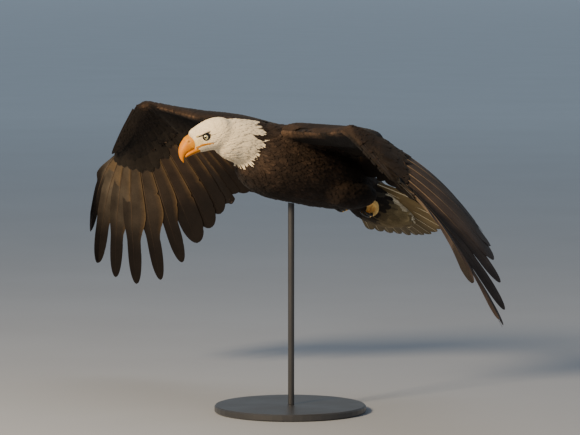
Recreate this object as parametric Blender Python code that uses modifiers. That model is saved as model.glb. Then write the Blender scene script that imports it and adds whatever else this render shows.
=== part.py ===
"""Life-size bald eagle in flapping flight on a plain display stand.

World frame: metres, +Z up, the stand's underside at Z = 0 and its centre at the origin.  The bird heads
along -Y and its left side is +X.  The bird is modelled in its own frame, which the "bird" empty pitches and
lifts: X left, Y aft, Z up, with the origin midway between the shoulder joints.  A wing is worked out in
(out, aft, up) and the right one is mirrored.  Flight feathers are thin plates parted by narrow gaps, not
overlapping vanes.
"""
import math

import bmesh
import bpy
from mathutils import Matrix, Vector

# ---- driving dimensions, metres and degrees ----
BIRD_HEIGHT = 0.600  # shoulder joints above the floor
BIRD_AFT = -0.035  # shoulder joints ahead of the stand's centre
BODY_PITCH = 20.0  # nose up
HEAD_TURN = 31.0  # to the bird's right
HEAD_DOWN = 43.0
HEAD_PLACE = Vector((-0.0169, -0.1832, -0.0427))  # midway between the eyes
GAP = 0.0005  # between pieces that meet
FEATHER_GAP = 0.0008  # between neighbouring flight feathers
PLATE = 0.0012  # thickness of a flight feather
STAND_RADIUS = 0.170
STAND_THICK = 0.016
ROD_RADIUS = 0.007
ROD_AFT = 0.040  # where the rod meets the belly, aft of the shoulders

# ---- wing ----
SHOULDER = Vector((0.075, 0.0, 0.030))
HAND_LENGTH = 0.160
SWEEP = 0.032
ELBOW_AFT = 0.124
PRIMARY_LENGTHS = (0.324, 0.428, 0.460, 0.473, 0.462, 0.420, 0.379, 0.356, 0.337, 0.328)  # P10 to P1
FINGER_WIDTHS = (0.034, 0.032, 0.034, 0.037, 0.037, 0.042, 0.054, 0.060, 0.060, 0.060)
FINGERS_FROM = 0.74  # where the wing tip's slots begin, as a share of a primary's length
SECONDARIES = 14
SECONDARY_LENGTH = 0.300
TERTIALS = 3
WRIST = 9.35  # the place that parts the hand from the arm
LAST = 9 + SECONDARIES + TERTIALS + 1
WING_POSE = {  # fan gives feathers' directions at places counted inwards from the outermost primary
    "left": {
        "wrist": Vector((0.303, -0.118, -0.018)),
        "hand": Vector((0.800, 0.220, -0.555)),
        "fan": (
            (0.0, 0.800, 0.205, -0.575),
            (3.0, 0.680, 0.402, -0.614),
            (6.0, 0.690, 0.560, -0.455),
            (9.0, 0.565, 0.740, -0.365),
            (23.0, -0.520, 0.835, -0.165),
        ),
        "arch": 0.030,
        "flat": 0.55,
        "edge": 0.012,
        "flex": 0.055,
    },
    "right": {
        "wrist": Vector((0.327, -0.083, 0.019)),
        "hand": Vector((0.749, 0.354, -0.560)),
        "fan": (
            (0.0, 0.725, 0.420, -0.545),
            (3.0, 0.476, 0.618, -0.626),
            (6.0, 0.185, 0.812, -0.552),
            (9.0, -0.020, 0.900, -0.435),
            (23.0, -0.345, 0.933, -0.100),
        ),
        "arch": 0.028,
        "flat": 0.0,
        "edge": 0.029,
        "flex": 0.0,
    },
}
SIDES = {"left": 1.0, "right": -1.0}

COLOURS = {
    "brown": (0.035, 0.022, 0.014),
    "flight": (0.060, 0.042, 0.028),
    "white": (0.80, 0.76, 0.68),
    "bill": (0.80, 0.42, 0.04),
    "leg": (0.78, 0.45, 0.06),
    "talon": (0.02, 0.02, 0.02),
    "eye": (0.70, 0.62, 0.30),
    "stand": (0.03, 0.03, 0.032),
}
ROUGHNESS = {"bill": 0.35, "leg": 0.5, "talon": 0.3, "eye": 0.1, "stand": 0.4}


def clear_scene():
    for obj in list(bpy.data.objects):
        bpy.data.objects.remove(obj, do_unlink=True)


def new_collection(name):
    collection = bpy.data.collections.new(name)
    bpy.context.scene.collection.children.link(collection)
    return collection


def material(name, finish):
    """A material of the object's own, in one of the bird's finishes."""
    made = bpy.data.materials.new(name)
    made.use_nodes = True
    shader = made.node_tree.nodes["Principled BSDF"]
    shader.inputs["Base Color"].default_value = (*COLOURS[finish], 1.0)
    shader.inputs["Roughness"].default_value = ROUGHNESS.get(finish, 0.75)
    shader.inputs["Metallic"].default_value = 1.0 if finish == "stand" else 0.0
    return made


def new_object(name, mesh, finish, parent):
    obj = bpy.data.objects.new(name, mesh)
    EAGLE.objects.link(obj)
    obj.data.materials.append(material(name, finish))
    obj.parent = parent
    return obj


def mesh_from(bm, name):
    bmesh.ops.recalc_face_normals(bm, faces=bm.faces)
    mesh = bpy.data.meshes.new(name)
    bm.to_mesh(mesh)
    bm.free()
    mesh.shade_smooth()
    return mesh


def loft(rings, name, strips=False):
    """A closed mesh through rings of equally many points, capped at both ends.

    Strips caps a flat section from its first point backwards, each point tied to the one that faces it.
    """
    bm = bmesh.new()
    rows = [[bm.verts.new(point) for point in ring] for ring in rings]
    for near, far in zip(rows, rows[1:]):
        for i in range(len(near)):
            j = (i + 1) % len(near)
            bm.faces.new((near[i], near[j], far[j], far[i]))
    for row in (rows[0], rows[-1]):
        if strips:
            count = len(row)
            bm.faces.new((row[0], row[1], row[count - 1]))
            for k in range(1, count // 2):
                bm.faces.new((row[k], row[k + 1], row[count - k - 1], row[count - k]))
        else:
            bm.faces.new(row)
    return mesh_from(bm, name)


def spline(keys, t):
    """Values of a smooth curve through keys, tuples of which the first number is the place, at place t."""
    places = [key[0] for key in keys]
    i = max(0, min(len(keys) - 2, sum(place <= t for place in places) - 1))
    x0, x1 = places[i], places[i + 1]
    u = (t - x0) / (x1 - x0)
    values = []
    for k in range(1, len(keys[0])):
        y0, y1 = keys[i][k], keys[i + 1][k]
        before = keys[i - 1] if i > 0 else keys[i]
        after = keys[i + 2] if i + 2 < len(keys) else keys[i + 1]
        m0 = (y1 - before[k]) / (x1 - before[0]) * (x1 - x0)
        m1 = (after[k] - y0) / (after[0] - x0) * (x1 - x0)
        values.append(
            y0 * (1 + 2 * u) * (1 - u) ** 2
            + m0 * u * (1 - u) ** 2
            + y1 * u * u * (3 - 2 * u)
            + m1 * u * u * (u - 1)
        )
    return values


def egg_ring(y, top, bottom, half_width, sides, centre_x=0.0, fullness=2.2):
    """An upright oval section, a superellipse, at place y."""
    middle, half = (top + bottom) / 2, (top - bottom) / 2
    points = []
    for i in range(sides):
        angle = 2 * math.pi * i / sides
        c, s = math.cos(angle), math.sin(angle)
        x = half_width * math.copysign(abs(c) ** (2 / fullness), c)
        z = half * math.copysign(abs(s) ** (2 / fullness), s)
        points.append(Vector((centre_x + x, y, middle + z)))
    return points


def egg_body(keys, steps, sides, name, fullness=2.2):
    """A body lofted aft through keys (y, top, bottom, half_width), its ends rounded off by the end keys."""
    first, last = keys[0][0], keys[-1][0]
    rings = []
    for i in range(steps + 1):
        y = first + (last - first) * i / steps
        top, bottom, half_width = spline(keys, y)
        rings.append(egg_ring(y, top, bottom, half_width, sides, fullness=fullness))
    return loft(rings, name)


def tube_rings(path, radii, sides, flatten=1.0):
    """Rings square to a path of points; flatten scales them along the local upright."""
    rings = []
    for i, point in enumerate(path):
        ahead = path[min(i + 1, len(path) - 1)] - path[max(i - 1, 0)]
        side = ahead.cross(Vector((0, 0, 1))).normalized()
        up = side.cross(ahead).normalized()
        ring = []
        for k in range(sides):
            angle = 2 * math.pi * k / sides
            ring.append(point + radii[i] * (math.cos(angle) * side + flatten * math.sin(angle) * up))
        rings.append(ring)
    return rings


def cutter_of(obj, gap=GAP):
    """A copy of obj, swollen by gap, that other pieces are cut by."""
    cutter = bpy.data.objects.new("cut_" + obj.name, obj.data)
    CUTTERS.objects.link(cutter)
    cutter.parent = obj.parent
    cutter.matrix_local = obj.matrix_local.copy()
    cutter.hide_render = True
    cutter.display_type = "WIRE"
    for modifier in obj.modifiers:
        copy = cutter.modifiers.new(modifier.name, modifier.type)
        for key in modifier.bl_rna.properties.keys():
            if not modifier.is_property_readonly(key):
                setattr(copy, key, getattr(modifier, key))
    swell = cutter.modifiers.new("swell", "DISPLACE")
    swell.strength = gap
    swell.mid_level = 0.0
    return cutter


def cut(obj, *cutters):
    for cutter in cutters:
        boolean = obj.modifiers.new("cut_by_" + cutter.name, "BOOLEAN")
        boolean.operation = "DIFFERENCE"
        boolean.solver = "EXACT"
        boolean.object = cutter


def keep_largest(obj):
    """Applies obj's modifiers and drops every loose crumb but the largest body."""
    bpy.context.view_layer.update()
    graph = bpy.context.evaluated_depsgraph_get()
    mesh = bpy.data.meshes.new_from_object(obj.evaluated_get(graph))
    obj.modifiers.clear()
    bm = bmesh.new()
    bm.from_mesh(mesh)
    left, groups = set(bm.verts), []
    while left:
        stack = [left.pop()]
        group = set(stack)
        while stack:
            for edge in stack.pop().link_edges:
                for vert in edge.verts:
                    if vert in left:
                        left.discard(vert)
                        group.add(vert)
                        stack.append(vert)
        groups.append(group)
    groups.sort(key=len, reverse=True)
    loose = [vert for group in groups[1:] for vert in group]
    bmesh.ops.delete(bm, geom=loose, context="VERTS")
    bm.to_mesh(mesh)
    bm.free()
    obj.data = mesh


# ---- body ----
TRUNK_KEYS = (  # y, top, bottom, half width
    (-0.096, -0.004, -0.062, 0.022),
    (-0.085, 0.018, -0.086, 0.045),
    (-0.060, 0.032, -0.107, 0.066),
    (-0.020, 0.046, -0.119, 0.083),
    (0.030, 0.055, -0.119, 0.094),
    (0.090, 0.055, -0.109, 0.094),
    (0.150, 0.050, -0.100, 0.086),
    (0.210, 0.040, -0.086, 0.070),
    (0.260, 0.028, -0.070, 0.052),
    (0.290, 0.010, -0.045, 0.030),
)
COVERT_KEYS = (
    (0.235, 0.010, -0.050, 0.030),
    (0.255, 0.022, -0.072, 0.044),
    (0.290, 0.018, -0.083, 0.053),
    (0.330, 0.007, -0.085, 0.059),
    (0.365, -0.010, -0.082, 0.061),
    (0.395, -0.027, -0.073, 0.058),
    (0.412, -0.040, -0.064, 0.048),
)
HEAD_KEYS = (  # in the head's frame
    (-0.0400, 0.0205, -0.0150, 0.0125),
    (-0.0330, 0.0270, -0.0205, 0.0170),
    (-0.0180, 0.0335, -0.0270, 0.0245),
    (0.0020, 0.0365, -0.0330, 0.0300),
    (0.0220, 0.0360, -0.0370, 0.0345),
    (0.0420, 0.0310, -0.0360, 0.0335),
    (0.0570, 0.0215, -0.0260, 0.0250),
    (0.0640, 0.0060, -0.0150, 0.0120),
)


def make_trunk():
    return new_object("trunk", egg_body(TRUNK_KEYS, 14, 18, "trunk"), "brown", BIRD)


def make_neck(trunk, head):
    path = [Vector((-0.004 + 0.004 * t, -0.165 + 0.115 * t, -0.030 + 0.010 * t)) for t in
            (0.0, 0.15, 0.3, 0.5, 0.7, 0.85, 1.0)]
    radii = (0.030, 0.040, 0.045, 0.049, 0.052, 0.054, 0.055)
    rings = tube_rings(path, radii, 16, flatten=1.04)
    neck = new_object("neck", loft(rings, "neck"), "white", BIRD)
    cut(neck, cutter_of(trunk), cutter_of(head))
    keep_largest(neck)
    return neck


def make_head():
    return new_object("head", egg_body(HEAD_KEYS, 11, 18, "head"), "white", HEAD)


BILL_STATIONS = (  # forward, up, fall of the axis in degrees, half depth, half width
    (0.0270, 0.0055, 0.0, 0.0170, 0.0155),
    (0.0370, 0.0058, 5.0, 0.0167, 0.0150),
    (0.0460, 0.0040, 14.0, 0.0155, 0.0135),
    (0.0550, 0.0000, 28.0, 0.0130, 0.0112),
    (0.0620, -0.0050, 46.0, 0.0098, 0.0086),
    (0.0672, -0.0115, 64.0, 0.0066, 0.0058),
    (0.0700, -0.0182, 80.0, 0.0040, 0.0036),
    (0.0706, -0.0235, 90.0, 0.0020, 0.0020),
    (0.0706, -0.0268, 92.0, 0.0007, 0.0007),
)
LOWER_BILL_KEYS = (
    (-0.0620, -0.0150, -0.0195, 0.0030),
    (-0.0570, -0.0118, -0.0202, 0.0062),
    (-0.0450, -0.0105, -0.0208, 0.0090),
    (-0.0280, -0.0105, -0.0228, 0.0118),
)


def make_bill(head):
    """The upper bill runs along a falling arc to its hook; the lower one is a shallow trough under it."""
    rings = []
    for forward, rise, fall, depth, width in BILL_STATIONS:
        fall = math.radians(fall)
        up = Vector((0.0, -math.sin(fall), math.cos(fall)))
        middle = Vector((0.0, -forward, rise))
        ring = []
        for k in range(14):
            angle = 2 * math.pi * k / 14
            ring.append(middle + Vector((width * math.cos(angle), 0, 0)) + up * depth * math.sin(angle))
        rings.append(ring)
    upper = new_object("bill_upper", loft(rings, "bill_upper"), "bill", HEAD)
    lower = new_object("bill_lower", egg_body(LOWER_BILL_KEYS, 6, 12, "bill_lower"), "bill", HEAD)
    cut(upper, cutter_of(head))
    cut(lower, cutter_of(head))
    keep_largest(upper)
    cut(lower, cutter_of(upper))
    keep_largest(lower)


def make_eyes():
    """Two balls set in the sides of the head, from which the sockets are cut."""
    eyes = []
    for side, sign in SIDES.items():
        bm = bmesh.new()
        bmesh.ops.create_uvsphere(bm, u_segments=12, v_segments=8, radius=0.0098)
        eye = new_object("eye_" + side, mesh_from(bm, "eye_" + side), "eye", HEAD)
        eye.location = (sign * 0.0195, -0.004, 0.0)
        eyes.append(eye)
    return eyes


def make_coverts(trunk):
    coverts = new_object("tail_coverts", egg_body(COVERT_KEYS, 10, 16, "tail_coverts"), "white", BIRD)
    cut(coverts, cutter_of(trunk))
    keep_largest(coverts)
    return coverts


# ---- tail ----
TAIL_FEATHERS = 12
TAIL_ROOT = Vector((0.0, 0.215, -0.010))
TAIL_LENGTH = 0.264
TAIL_SPREAD = 29.0  # of the outermost feather, degrees from the middle
TAIL_DROOP = 12.5
TAIL_ROLL = 4.0  # right edge down
TAIL_LIFT = 0.040  # of the left edge, which is turned up


def tail_point(across, along):
    """A point of the fan: across -1 to 1 leftwards, along in metres from the root."""
    angle, roll, droop = (math.radians(a) for a in (TAIL_SPREAD * across, TAIL_ROLL, TAIL_DROOP))
    out = math.sin(angle) * along + 0.018 * across
    aft = math.cos(angle) * along
    arch = -0.010 * (across * along / TAIL_LENGTH) ** 2
    arch += TAIL_LIFT * max(0.0, across) ** 2 * math.sqrt(along / TAIL_LENGTH)
    turned = Matrix.Rotation(-droop, 3, "X") @ Vector((out, aft, arch + math.tan(roll) * out))
    return TAIL_ROOT + turned


def make_tail(coverts):
    """One fan plate whose rear edge is scalloped by its feathers' round tips."""
    columns, rows = 2 * TAIL_FEATHERS, 3
    bm = bmesh.new()
    bmesh.ops.create_grid(bm, x_segments=columns, y_segments=rows, size=1.0)
    for vert in bm.verts:
        across, t = vert.co.x, (vert.co.y + 1) / 2
        tip = abs(math.sin(math.pi * (across + 1) / 2 * TAIL_FEATHERS))
        length = TAIL_LENGTH * (1 - 0.07 * across * across) - 0.008 * (1 - tip)
        start = 0.11
        vert.co = tail_point(across, start + (length - start) * t)
    tail = new_object("tail_fan", mesh_from(bm, "tail_fan"), "white", BIRD)
    solid = tail.modifiers.new("thickness", "SOLIDIFY")
    solid.thickness = 0.0020
    solid.offset = 0.0
    cut(tail, cutter_of(coverts))
    keep_largest(tail)
    return tail


# ---- wings ----
def smooth(t):
    t = max(0.0, min(1.0, t))
    return t * t * (3 - 2 * t)


class Wing:
    """Where the wing's sheet lies: place v counts feathers inwards from the outermost primary."""

    def __init__(self, side):
        pose = WING_POSE[side]
        self.sign = SIDES[side]
        self.side = side
        self.wrist = SHOULDER + pose["wrist"]
        self.hand = pose["hand"].normalized()
        self.elbow = (SHOULDER + self.wrist) / 2 + Vector((0.0, ELBOW_AFT, 0.018))
        self.fan, self.arch, self.flex = pose["fan"], pose["arch"], pose["flex"]
        self.flat, self.edge = pose["flat"], pose["edge"]
        self.wrist_edge = max(0.020, self.edge - 0.003)

    def base(self, v):
        if v <= 9:
            return self.wrist + self.hand * HAND_LENGTH * (9 - v) / 9
        root = SHOULDER + Vector((-0.01, 0.02, 0.0))
        middle, near = self.wrist.lerp(self.elbow, 0.35), self.wrist.lerp(self.elbow, 0.70)
        bend = self.elbow.lerp(root, 0.12) - Vector((0.0, 0.010, 0.0))
        keys = ((9, *self.wrist), (14, *middle), (19, *near), (23.5, *bend), (LAST, *root))
        return Vector(spline(keys, v))

    def direction(self, v):
        return Vector(spline(self.fan, min(v, self.fan[-1][0]))).normalized()

    def length(self, v):
        if v <= 9:
            i = max(0, min(8, int(v)))
            a, b = PRIMARY_LENGTHS[i], PRIMARY_LENGTHS[i + 1]
            bent = self.flex * math.sin(math.pi * max(0.0, min(1.0, (v - 1) / 6)))
            return (a + (b - a) * (v - i)) * (1 - bent)
        return SECONDARY_LENGTH * (1 - 0.50 * smooth((v - 17) / (LAST - 14)))

    def normal(self, v):
        """Away from the back of the wing, averaged over neighbours so that the sheet has no crease."""
        total = Vector()
        for step in (-2.0, 0.0, 2.0):
            a = max(0.0, min(float(LAST), v + step))
            lo, hi = max(0.0, a - 0.5), min(float(LAST), a + 0.5)
            ahead = self.base(lo) - self.base(hi) + (self.direction(lo) - self.direction(hi)) * 0.15
            ahead = ahead.normalized().lerp(Vector((1.0, 0.0, -0.1)), smooth((a - 19) / 5))
            total += ahead.cross(self.direction(a)).normalized()
        return total.normalized()

    def sharp_edge(self, v):
        """The leading edge with a corner at the wrist."""
        hand_edge = -self.hand.cross(self.normal(5)).normalized()
        if v <= 9:
            return self.base(v) - hand_edge * (self.edge + (self.wrist_edge - self.edge) * v / 9)
        t = (v - 9) / (LAST - 9)
        rooted = SHOULDER + Vector((-0.012, -0.052, -0.008))
        drawn_back = Vector((0, 0.018, 0)) * math.sin(math.pi * t)
        return (self.wrist - hand_edge * self.wrist_edge).lerp(rooted, t) + drawn_back

    def lead(self, v):
        """The leading edge, rounded at the wrist."""
        reach = 1.5 * max(0.0, 1 - abs(v - 9) / 4)
        return (self.sharp_edge(v - reach) + self.sharp_edge(v) + self.sharp_edge(v + reach)) / 3

    def bow(self, v):
        """How far the feathers are bowed; the outermost ones of a wing that is swept down are flatter."""
        flatter = self.flat * (1.0 - smooth((v + 1) / 4))
        return self.arch * (1.0 - 0.25 * smooth(v - 9)) * (1.0 - flatter)

    def sweep(self, v):
        """The long feathers bend back towards their tips, most of all the outermost."""
        return SWEEP * (1.0 - max(0.0, v) / 9) if v <= 9 else 0.0

    def centre(self, v, s):
        """A point of the sheet s metres from the base along feather v."""
        share, along, normal = s / self.length(v), self.direction(v), self.normal(v)
        bend = 4 * share * (1 - share)
        ahead = along.cross(normal)
        return self.base(v) + along * s + (normal * self.bow(v) + ahead * self.sweep(v)) * bend

    def covert(self, v):
        """How far the coverts reach from the base."""
        if v <= 9:
            return 0.085 + 0.030 * v / 9
        return 0.115 + 0.020 * smooth((v - 9) / 8)

    def place(self, point):
        return Vector((self.sign * point.x, point.y, point.z))


SECTION_PLACES = (0.0, 0.03, 0.10, 0.24, 0.45, 0.72, 1.0)


def section(wing, v, thick):
    """A closed aerofoil ring at place v, from the leading edge over the back to the coverts and round."""
    keys = (
        (0.0, *wing.lead(v)),
        (0.42, *wing.base(v)),
        (0.72, *wing.centre(v, wing.covert(v) * 0.5)),
        (1.0, *wing.centre(v, wing.covert(v))),
    )
    normal = wing.normal(v)
    upper, lower = [], []
    for q in SECTION_PLACES:
        spot = Vector(spline(keys, q))
        swell = 2.97 * math.sqrt(q) - 1.26 * q - 3.52 * q ** 2 + 2.84 * q ** 3 - 1.01 * q ** 4
        half = 0.5 * thick * swell + 0.0010 * q
        upper.append(wing.place(spot + normal * half * 1.15))
        lower.append(wing.place(spot - normal * half * 0.85))
    return upper + lower[:0:-1]


def wing_flesh(wing, name, places, thickness):
    rings = [section(wing, v, thickness(v)) for v in places]
    return new_object(name, loft(rings, name, strips=True), "brown", BIRD)


def vane(index, share, side):
    """How far a primary's vane reaches from its shaft: wide, then cut in to a finger with a lance's end."""
    finger = FINGER_WIDTHS[index]
    width = 0.100 + (finger - 0.100) * smooth((share - FINGERS_FROM + 0.06) / 0.12)
    tip = 1 - max(0.0, (share - 0.80) / 0.20) ** (2.0 if side > 0 else 3.0)
    return width * (0.58 if side > 0 else 0.42) * math.sqrt(max(0.0, tip))


def primary(wing, index):
    """One primary as a plate from the coverts' edge to its tip."""
    v, rows = float(index), 8
    start, length = wing.covert(v) + GAP + 0.0008, wing.length(v)
    bm = bmesh.new()
    bmesh.ops.create_grid(bm, x_segments=2, y_segments=rows, size=1.0)
    for vert in bm.verts:
        t, side = (vert.co.y + 1) / 2, round(vert.co.x)
        s = start + (length - start) * (1 - (1 - t) ** 1.3)
        spot = wing.centre(v, s)
        if side:
            nearby = wing.centre(v + 0.5 * side, s + wing.covert(v + 0.5 * side) - wing.covert(v))
            reach = min((nearby - spot).length - FEATHER_GAP / 2, vane(index, s / length, side))
            spot += (nearby - spot).normalized() * max(reach, 0.0012)
        vert.co = wing.place(spot)
    return feather_plate(f"primary_{wing.side}_{10 - index:02d}", bm)


def feather_plate(name, bm):
    obj = new_object(name, mesh_from(bm, name), "flight", BIRD)
    solid = obj.modifiers.new("thickness", "SOLIDIFY")
    solid.thickness = PLATE
    solid.offset = 0.0
    return obj


def secondaries(wing):
    """The inner flight feathers as one plate with a scalloped rear edge."""
    count = SECONDARIES + TERTIALS
    bm = bmesh.new()
    bmesh.ops.create_grid(bm, x_segments=2 * count, y_segments=3, size=1.0)
    for vert in bm.verts:
        v = 9.5 + count * (vert.co.x + 1) / 2
        scallop = abs(math.sin(math.pi * (v - 9.5)))
        v = max(v, 9.53)
        start = wing.covert(v) + GAP + 0.0005
        end = wing.length(v) - 0.014 * (1 - scallop)
        vert.co = wing.place(wing.centre(v, start + (end - start) * (vert.co.y + 1) / 2))
    return feather_plate("secondaries_" + wing.side, bm)


def places(first, last, steps):
    return [first + (last - first) * i / steps for i in range(steps + 1)]


def make_wing(side, trunk_cutters):
    wing = Wing(side)
    wing_flesh(wing, "wing_hand_" + side, [-0.5] + places(0.0, 9.0, 9) + [WRIST - 0.05],
               lambda v: 0.010 + 0.012 * max(0.0, v) / 9)
    arm = wing_flesh(wing, "wing_arm_" + side, [WRIST] + places(10.5, LAST, 11),
                     lambda v: 0.022 + 0.026 * smooth((v - 9) / 14))
    cut(arm, *trunk_cutters)
    keep_largest(arm)
    for index in range(10):
        primary(wing, index)
    inner = secondaries(wing)
    cut(inner, *trunk_cutters)
    keep_largest(inner)


# ---- legs ----
THIGH_STATIONS = (  # out, aft, up, radius
    (0.055, 0.090, -0.055, 0.012),
    (0.058, 0.110, -0.056, 0.028),
    (0.061, 0.150, -0.057, 0.036),
    (0.062, 0.190, -0.053, 0.035),
    (0.060, 0.225, -0.043, 0.030),
    (0.057, 0.250, -0.036, 0.021),
    (0.056, 0.262, -0.033, 0.009),
)
PALMS = {"left": Vector((0.051, 0.252, -0.050)), "right": Vector((0.047, 0.252, -0.044))}
TOES = ((-10.0, -0.0095, 0.044), (0.0, 0.0, 0.049), (10.0, 0.0095, 0.044))  # yaw, sideways start, length
TOE_RADIUS = 0.0062
TALON_LENGTH = 0.021
SHANK = ((0.002, -0.026, 0.005), (0.001, -0.016, 0.003), (0.0, -0.004, 0.0), (0.0, 0.010, -0.001))


def curl(start, yaw, fall, turn, length, steps=7):
    """A path that starts aft and down, and curls under at an even rate; it ends with its last direction."""
    yaw, points = math.radians(yaw), [start.copy()]
    for i in range(steps):
        angle = math.radians(fall + turn * (i + 0.5) / steps)
        ahead = Vector((math.sin(yaw) * math.cos(angle), math.cos(yaw) * math.cos(angle), -math.sin(angle)))
        points.append(points[-1] + ahead * length / steps)
    return points


def curl_rings(points, yaw, radii, sides):
    side = Vector((math.cos(math.radians(yaw)), -math.sin(math.radians(yaw)), 0.0))
    rings = []
    for i, point in enumerate(points):
        ahead = (points[min(i + 1, len(points) - 1)] - points[max(i - 1, 0)]).normalized()
        up = ahead.cross(side)
        ring = []
        for k in range(sides):
            angle = 2 * math.pi * k / sides
            ring.append(point + radii[i] * (math.cos(angle) * side + math.sin(angle) * up))
        rings.append(ring)
    return rings


def union(obj, tools):
    for tool in tools:
        tool.hide_render = True
        boolean = obj.modifiers.new("with_" + tool.name, "BOOLEAN")
        boolean.operation = "UNION"
        boolean.solver = "EXACT"
        boolean.object = tool


def make_foot(side, thigh, cutters):
    """A closed foot: the shank's end and palm, the tucked hind toe, and three curled toes with talons."""
    sign = SIDES[side]
    palm = Vector((sign * PALMS[side].x, PALMS[side].y, PALMS[side].z))
    path = [palm + Vector((sign * out, aft, rise)) for out, aft, rise in SHANK]
    shank = loft(tube_rings(path, (0.010, 0.0115, 0.0125, 0.009), 12), "foot")
    foot = new_object("foot_" + side, shank, "leg", BIRD)
    toes = []
    for number, (yaw, aside, length) in enumerate(TOES + ((0.0, 0.0, 0.016),)):
        back = number == 3
        fall, turn = (125.0, 20.0) if back else (-20.0, 175.0)
        start = palm + Vector((aside, -0.012 if back else 0.0, 0.0))
        points = curl(start, yaw, fall, turn, length)
        radii = [TOE_RADIUS * (1 - 0.25 * i / 7) for i in range(8)]
        toe = new_object(f"toe_{side}_{number}", loft(curl_rings(points, yaw, radii, 8), "toe"), "leg", BIRD)
        EAGLE.objects.unlink(toe)
        CUTTERS.objects.link(toe)
        toe.display_type = "WIRE"
        toes.append(toe)
        ahead = (points[-1] - points[-2]).normalized()
        if back:
            continue
        more = curl(points[-1] + ahead * 0.0014, yaw, fall + turn, 55.0, TALON_LENGTH, 5)
        tapers = [0.0038 * (1 - i / 5) ** 0.8 + 0.0006 for i in range(6)]
        name = f"talon_{side}_{number + 1}"
        new_object(name, loft(curl_rings(more, yaw, tapers, 7), name), "talon", BIRD)
    union(foot, toes)
    cut(foot, cutter_of(thigh), *cutters)
    keep_largest(foot)


def make_leg(side, cutters):
    sign = SIDES[side]
    path = [Vector((sign * out, aft, rise)) for out, aft, rise, _ in THIGH_STATIONS]
    radii = [station[3] for station in THIGH_STATIONS]
    thigh = new_object("thigh_" + side, loft(tube_rings(path, radii, 14), "thigh"), "brown", BIRD)
    cut(thigh, *cutters)
    keep_largest(thigh)
    make_foot(side, thigh, cutters)
    return thigh


def make_stand(trunk_cutter):
    bpy.ops.mesh.primitive_cylinder_add(vertices=48, radius=STAND_RADIUS, depth=STAND_THICK,
                                        location=(0, 0, STAND_THICK / 2))
    base = bpy.context.object
    base.name = "stand_base"
    base.data.materials.append(material("stand_base", "stand"))
    bevel = base.modifiers.new("edge", "BEVEL")
    bevel.width = 0.003
    bevel.segments = 1
    bevel.limit_method = "ANGLE"
    move_to_collection(base)
    pitch = math.radians(BODY_PITCH)
    y = BIRD_AFT + ROD_AFT * math.cos(pitch)
    low, high = STAND_THICK + GAP, BIRD_HEIGHT - 0.06
    bpy.ops.mesh.primitive_cylinder_add(vertices=20, radius=ROD_RADIUS, depth=high - low,
                                        location=(0, y, (low + high) / 2))
    rod = bpy.context.object
    rod.name = "stand_rod"
    rod.data.materials.append(material("stand_rod", "stand"))
    move_to_collection(rod)
    cut(rod, trunk_cutter)
    keep_largest(rod)


def move_to_collection(obj):
    for collection in list(obj.users_collection):
        collection.objects.unlink(obj)
    EAGLE.objects.link(obj)


def main():
    trunk = make_trunk()
    trunk_cutter = cutter_of(trunk)
    head = make_head()
    eyes = make_eyes()
    make_neck(trunk, head)
    make_bill(head)
    cut(head, *[cutter_of(eye) for eye in eyes])
    keep_largest(head)
    coverts = make_coverts(trunk)
    make_tail(coverts)
    covert_cutter = cutter_of(coverts)
    for side in SIDES:
        make_wing(side, [trunk_cutter, covert_cutter])
        make_leg(side, [trunk_cutter, covert_cutter])
    make_stand(trunk_cutter)


clear_scene()
EAGLE = new_collection("bald_eagle")
CUTTERS = new_collection("cutters")
BIRD = bpy.data.objects.new("bird", None)
EAGLE.objects.link(BIRD)
BIRD.location = (0.0, BIRD_AFT, BIRD_HEIGHT)
BIRD.rotation_euler = (math.radians(-BODY_PITCH), 0.0, 0.0)
HEAD = bpy.data.objects.new("head_frame", None)
EAGLE.objects.link(HEAD)
HEAD.parent = BIRD
HEAD.matrix_local = (
    Matrix.Translation(HEAD_PLACE)
    @ Matrix.Rotation(math.radians(-HEAD_TURN), 4, "Z")
    @ Matrix.Rotation(math.radians(HEAD_DOWN), 4, "X")
)
main()
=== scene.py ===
"""Looks for a still, life-size bald eagle in a deep downstroke, on a plain stand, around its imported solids.

One skin stands for the nodes of flesh and lies inside them by the coat's depth.  Body feathers are
laid over it along the lie of the coat.  The bird's frame is x left, y aft, z up, in metres.  Each wing
is worked out in it for the left side, on the same sheet as its solids, and mirrored for the right: v
counts flight feathers inwards from the outermost primary, s is metres from a feather's base.
"""
import functools
import math

import bmesh
import bpy
import numpy as np
from mathutils import Matrix, Vector
from mathutils.bvhtree import BVHTree
from mathutils.kdtree import KDTree


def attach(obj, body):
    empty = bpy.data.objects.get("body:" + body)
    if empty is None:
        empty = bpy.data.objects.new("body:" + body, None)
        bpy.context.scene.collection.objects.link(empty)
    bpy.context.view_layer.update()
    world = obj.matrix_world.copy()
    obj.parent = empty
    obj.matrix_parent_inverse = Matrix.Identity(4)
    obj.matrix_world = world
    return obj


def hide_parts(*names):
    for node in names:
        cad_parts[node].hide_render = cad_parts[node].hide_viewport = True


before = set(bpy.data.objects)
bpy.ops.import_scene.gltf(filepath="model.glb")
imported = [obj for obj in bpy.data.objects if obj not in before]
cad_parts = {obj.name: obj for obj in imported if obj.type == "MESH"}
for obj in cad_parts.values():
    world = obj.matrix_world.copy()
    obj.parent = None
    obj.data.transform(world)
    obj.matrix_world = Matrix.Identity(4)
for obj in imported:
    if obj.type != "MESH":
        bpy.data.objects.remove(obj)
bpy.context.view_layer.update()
rng = np.random.default_rng(7)

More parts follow.
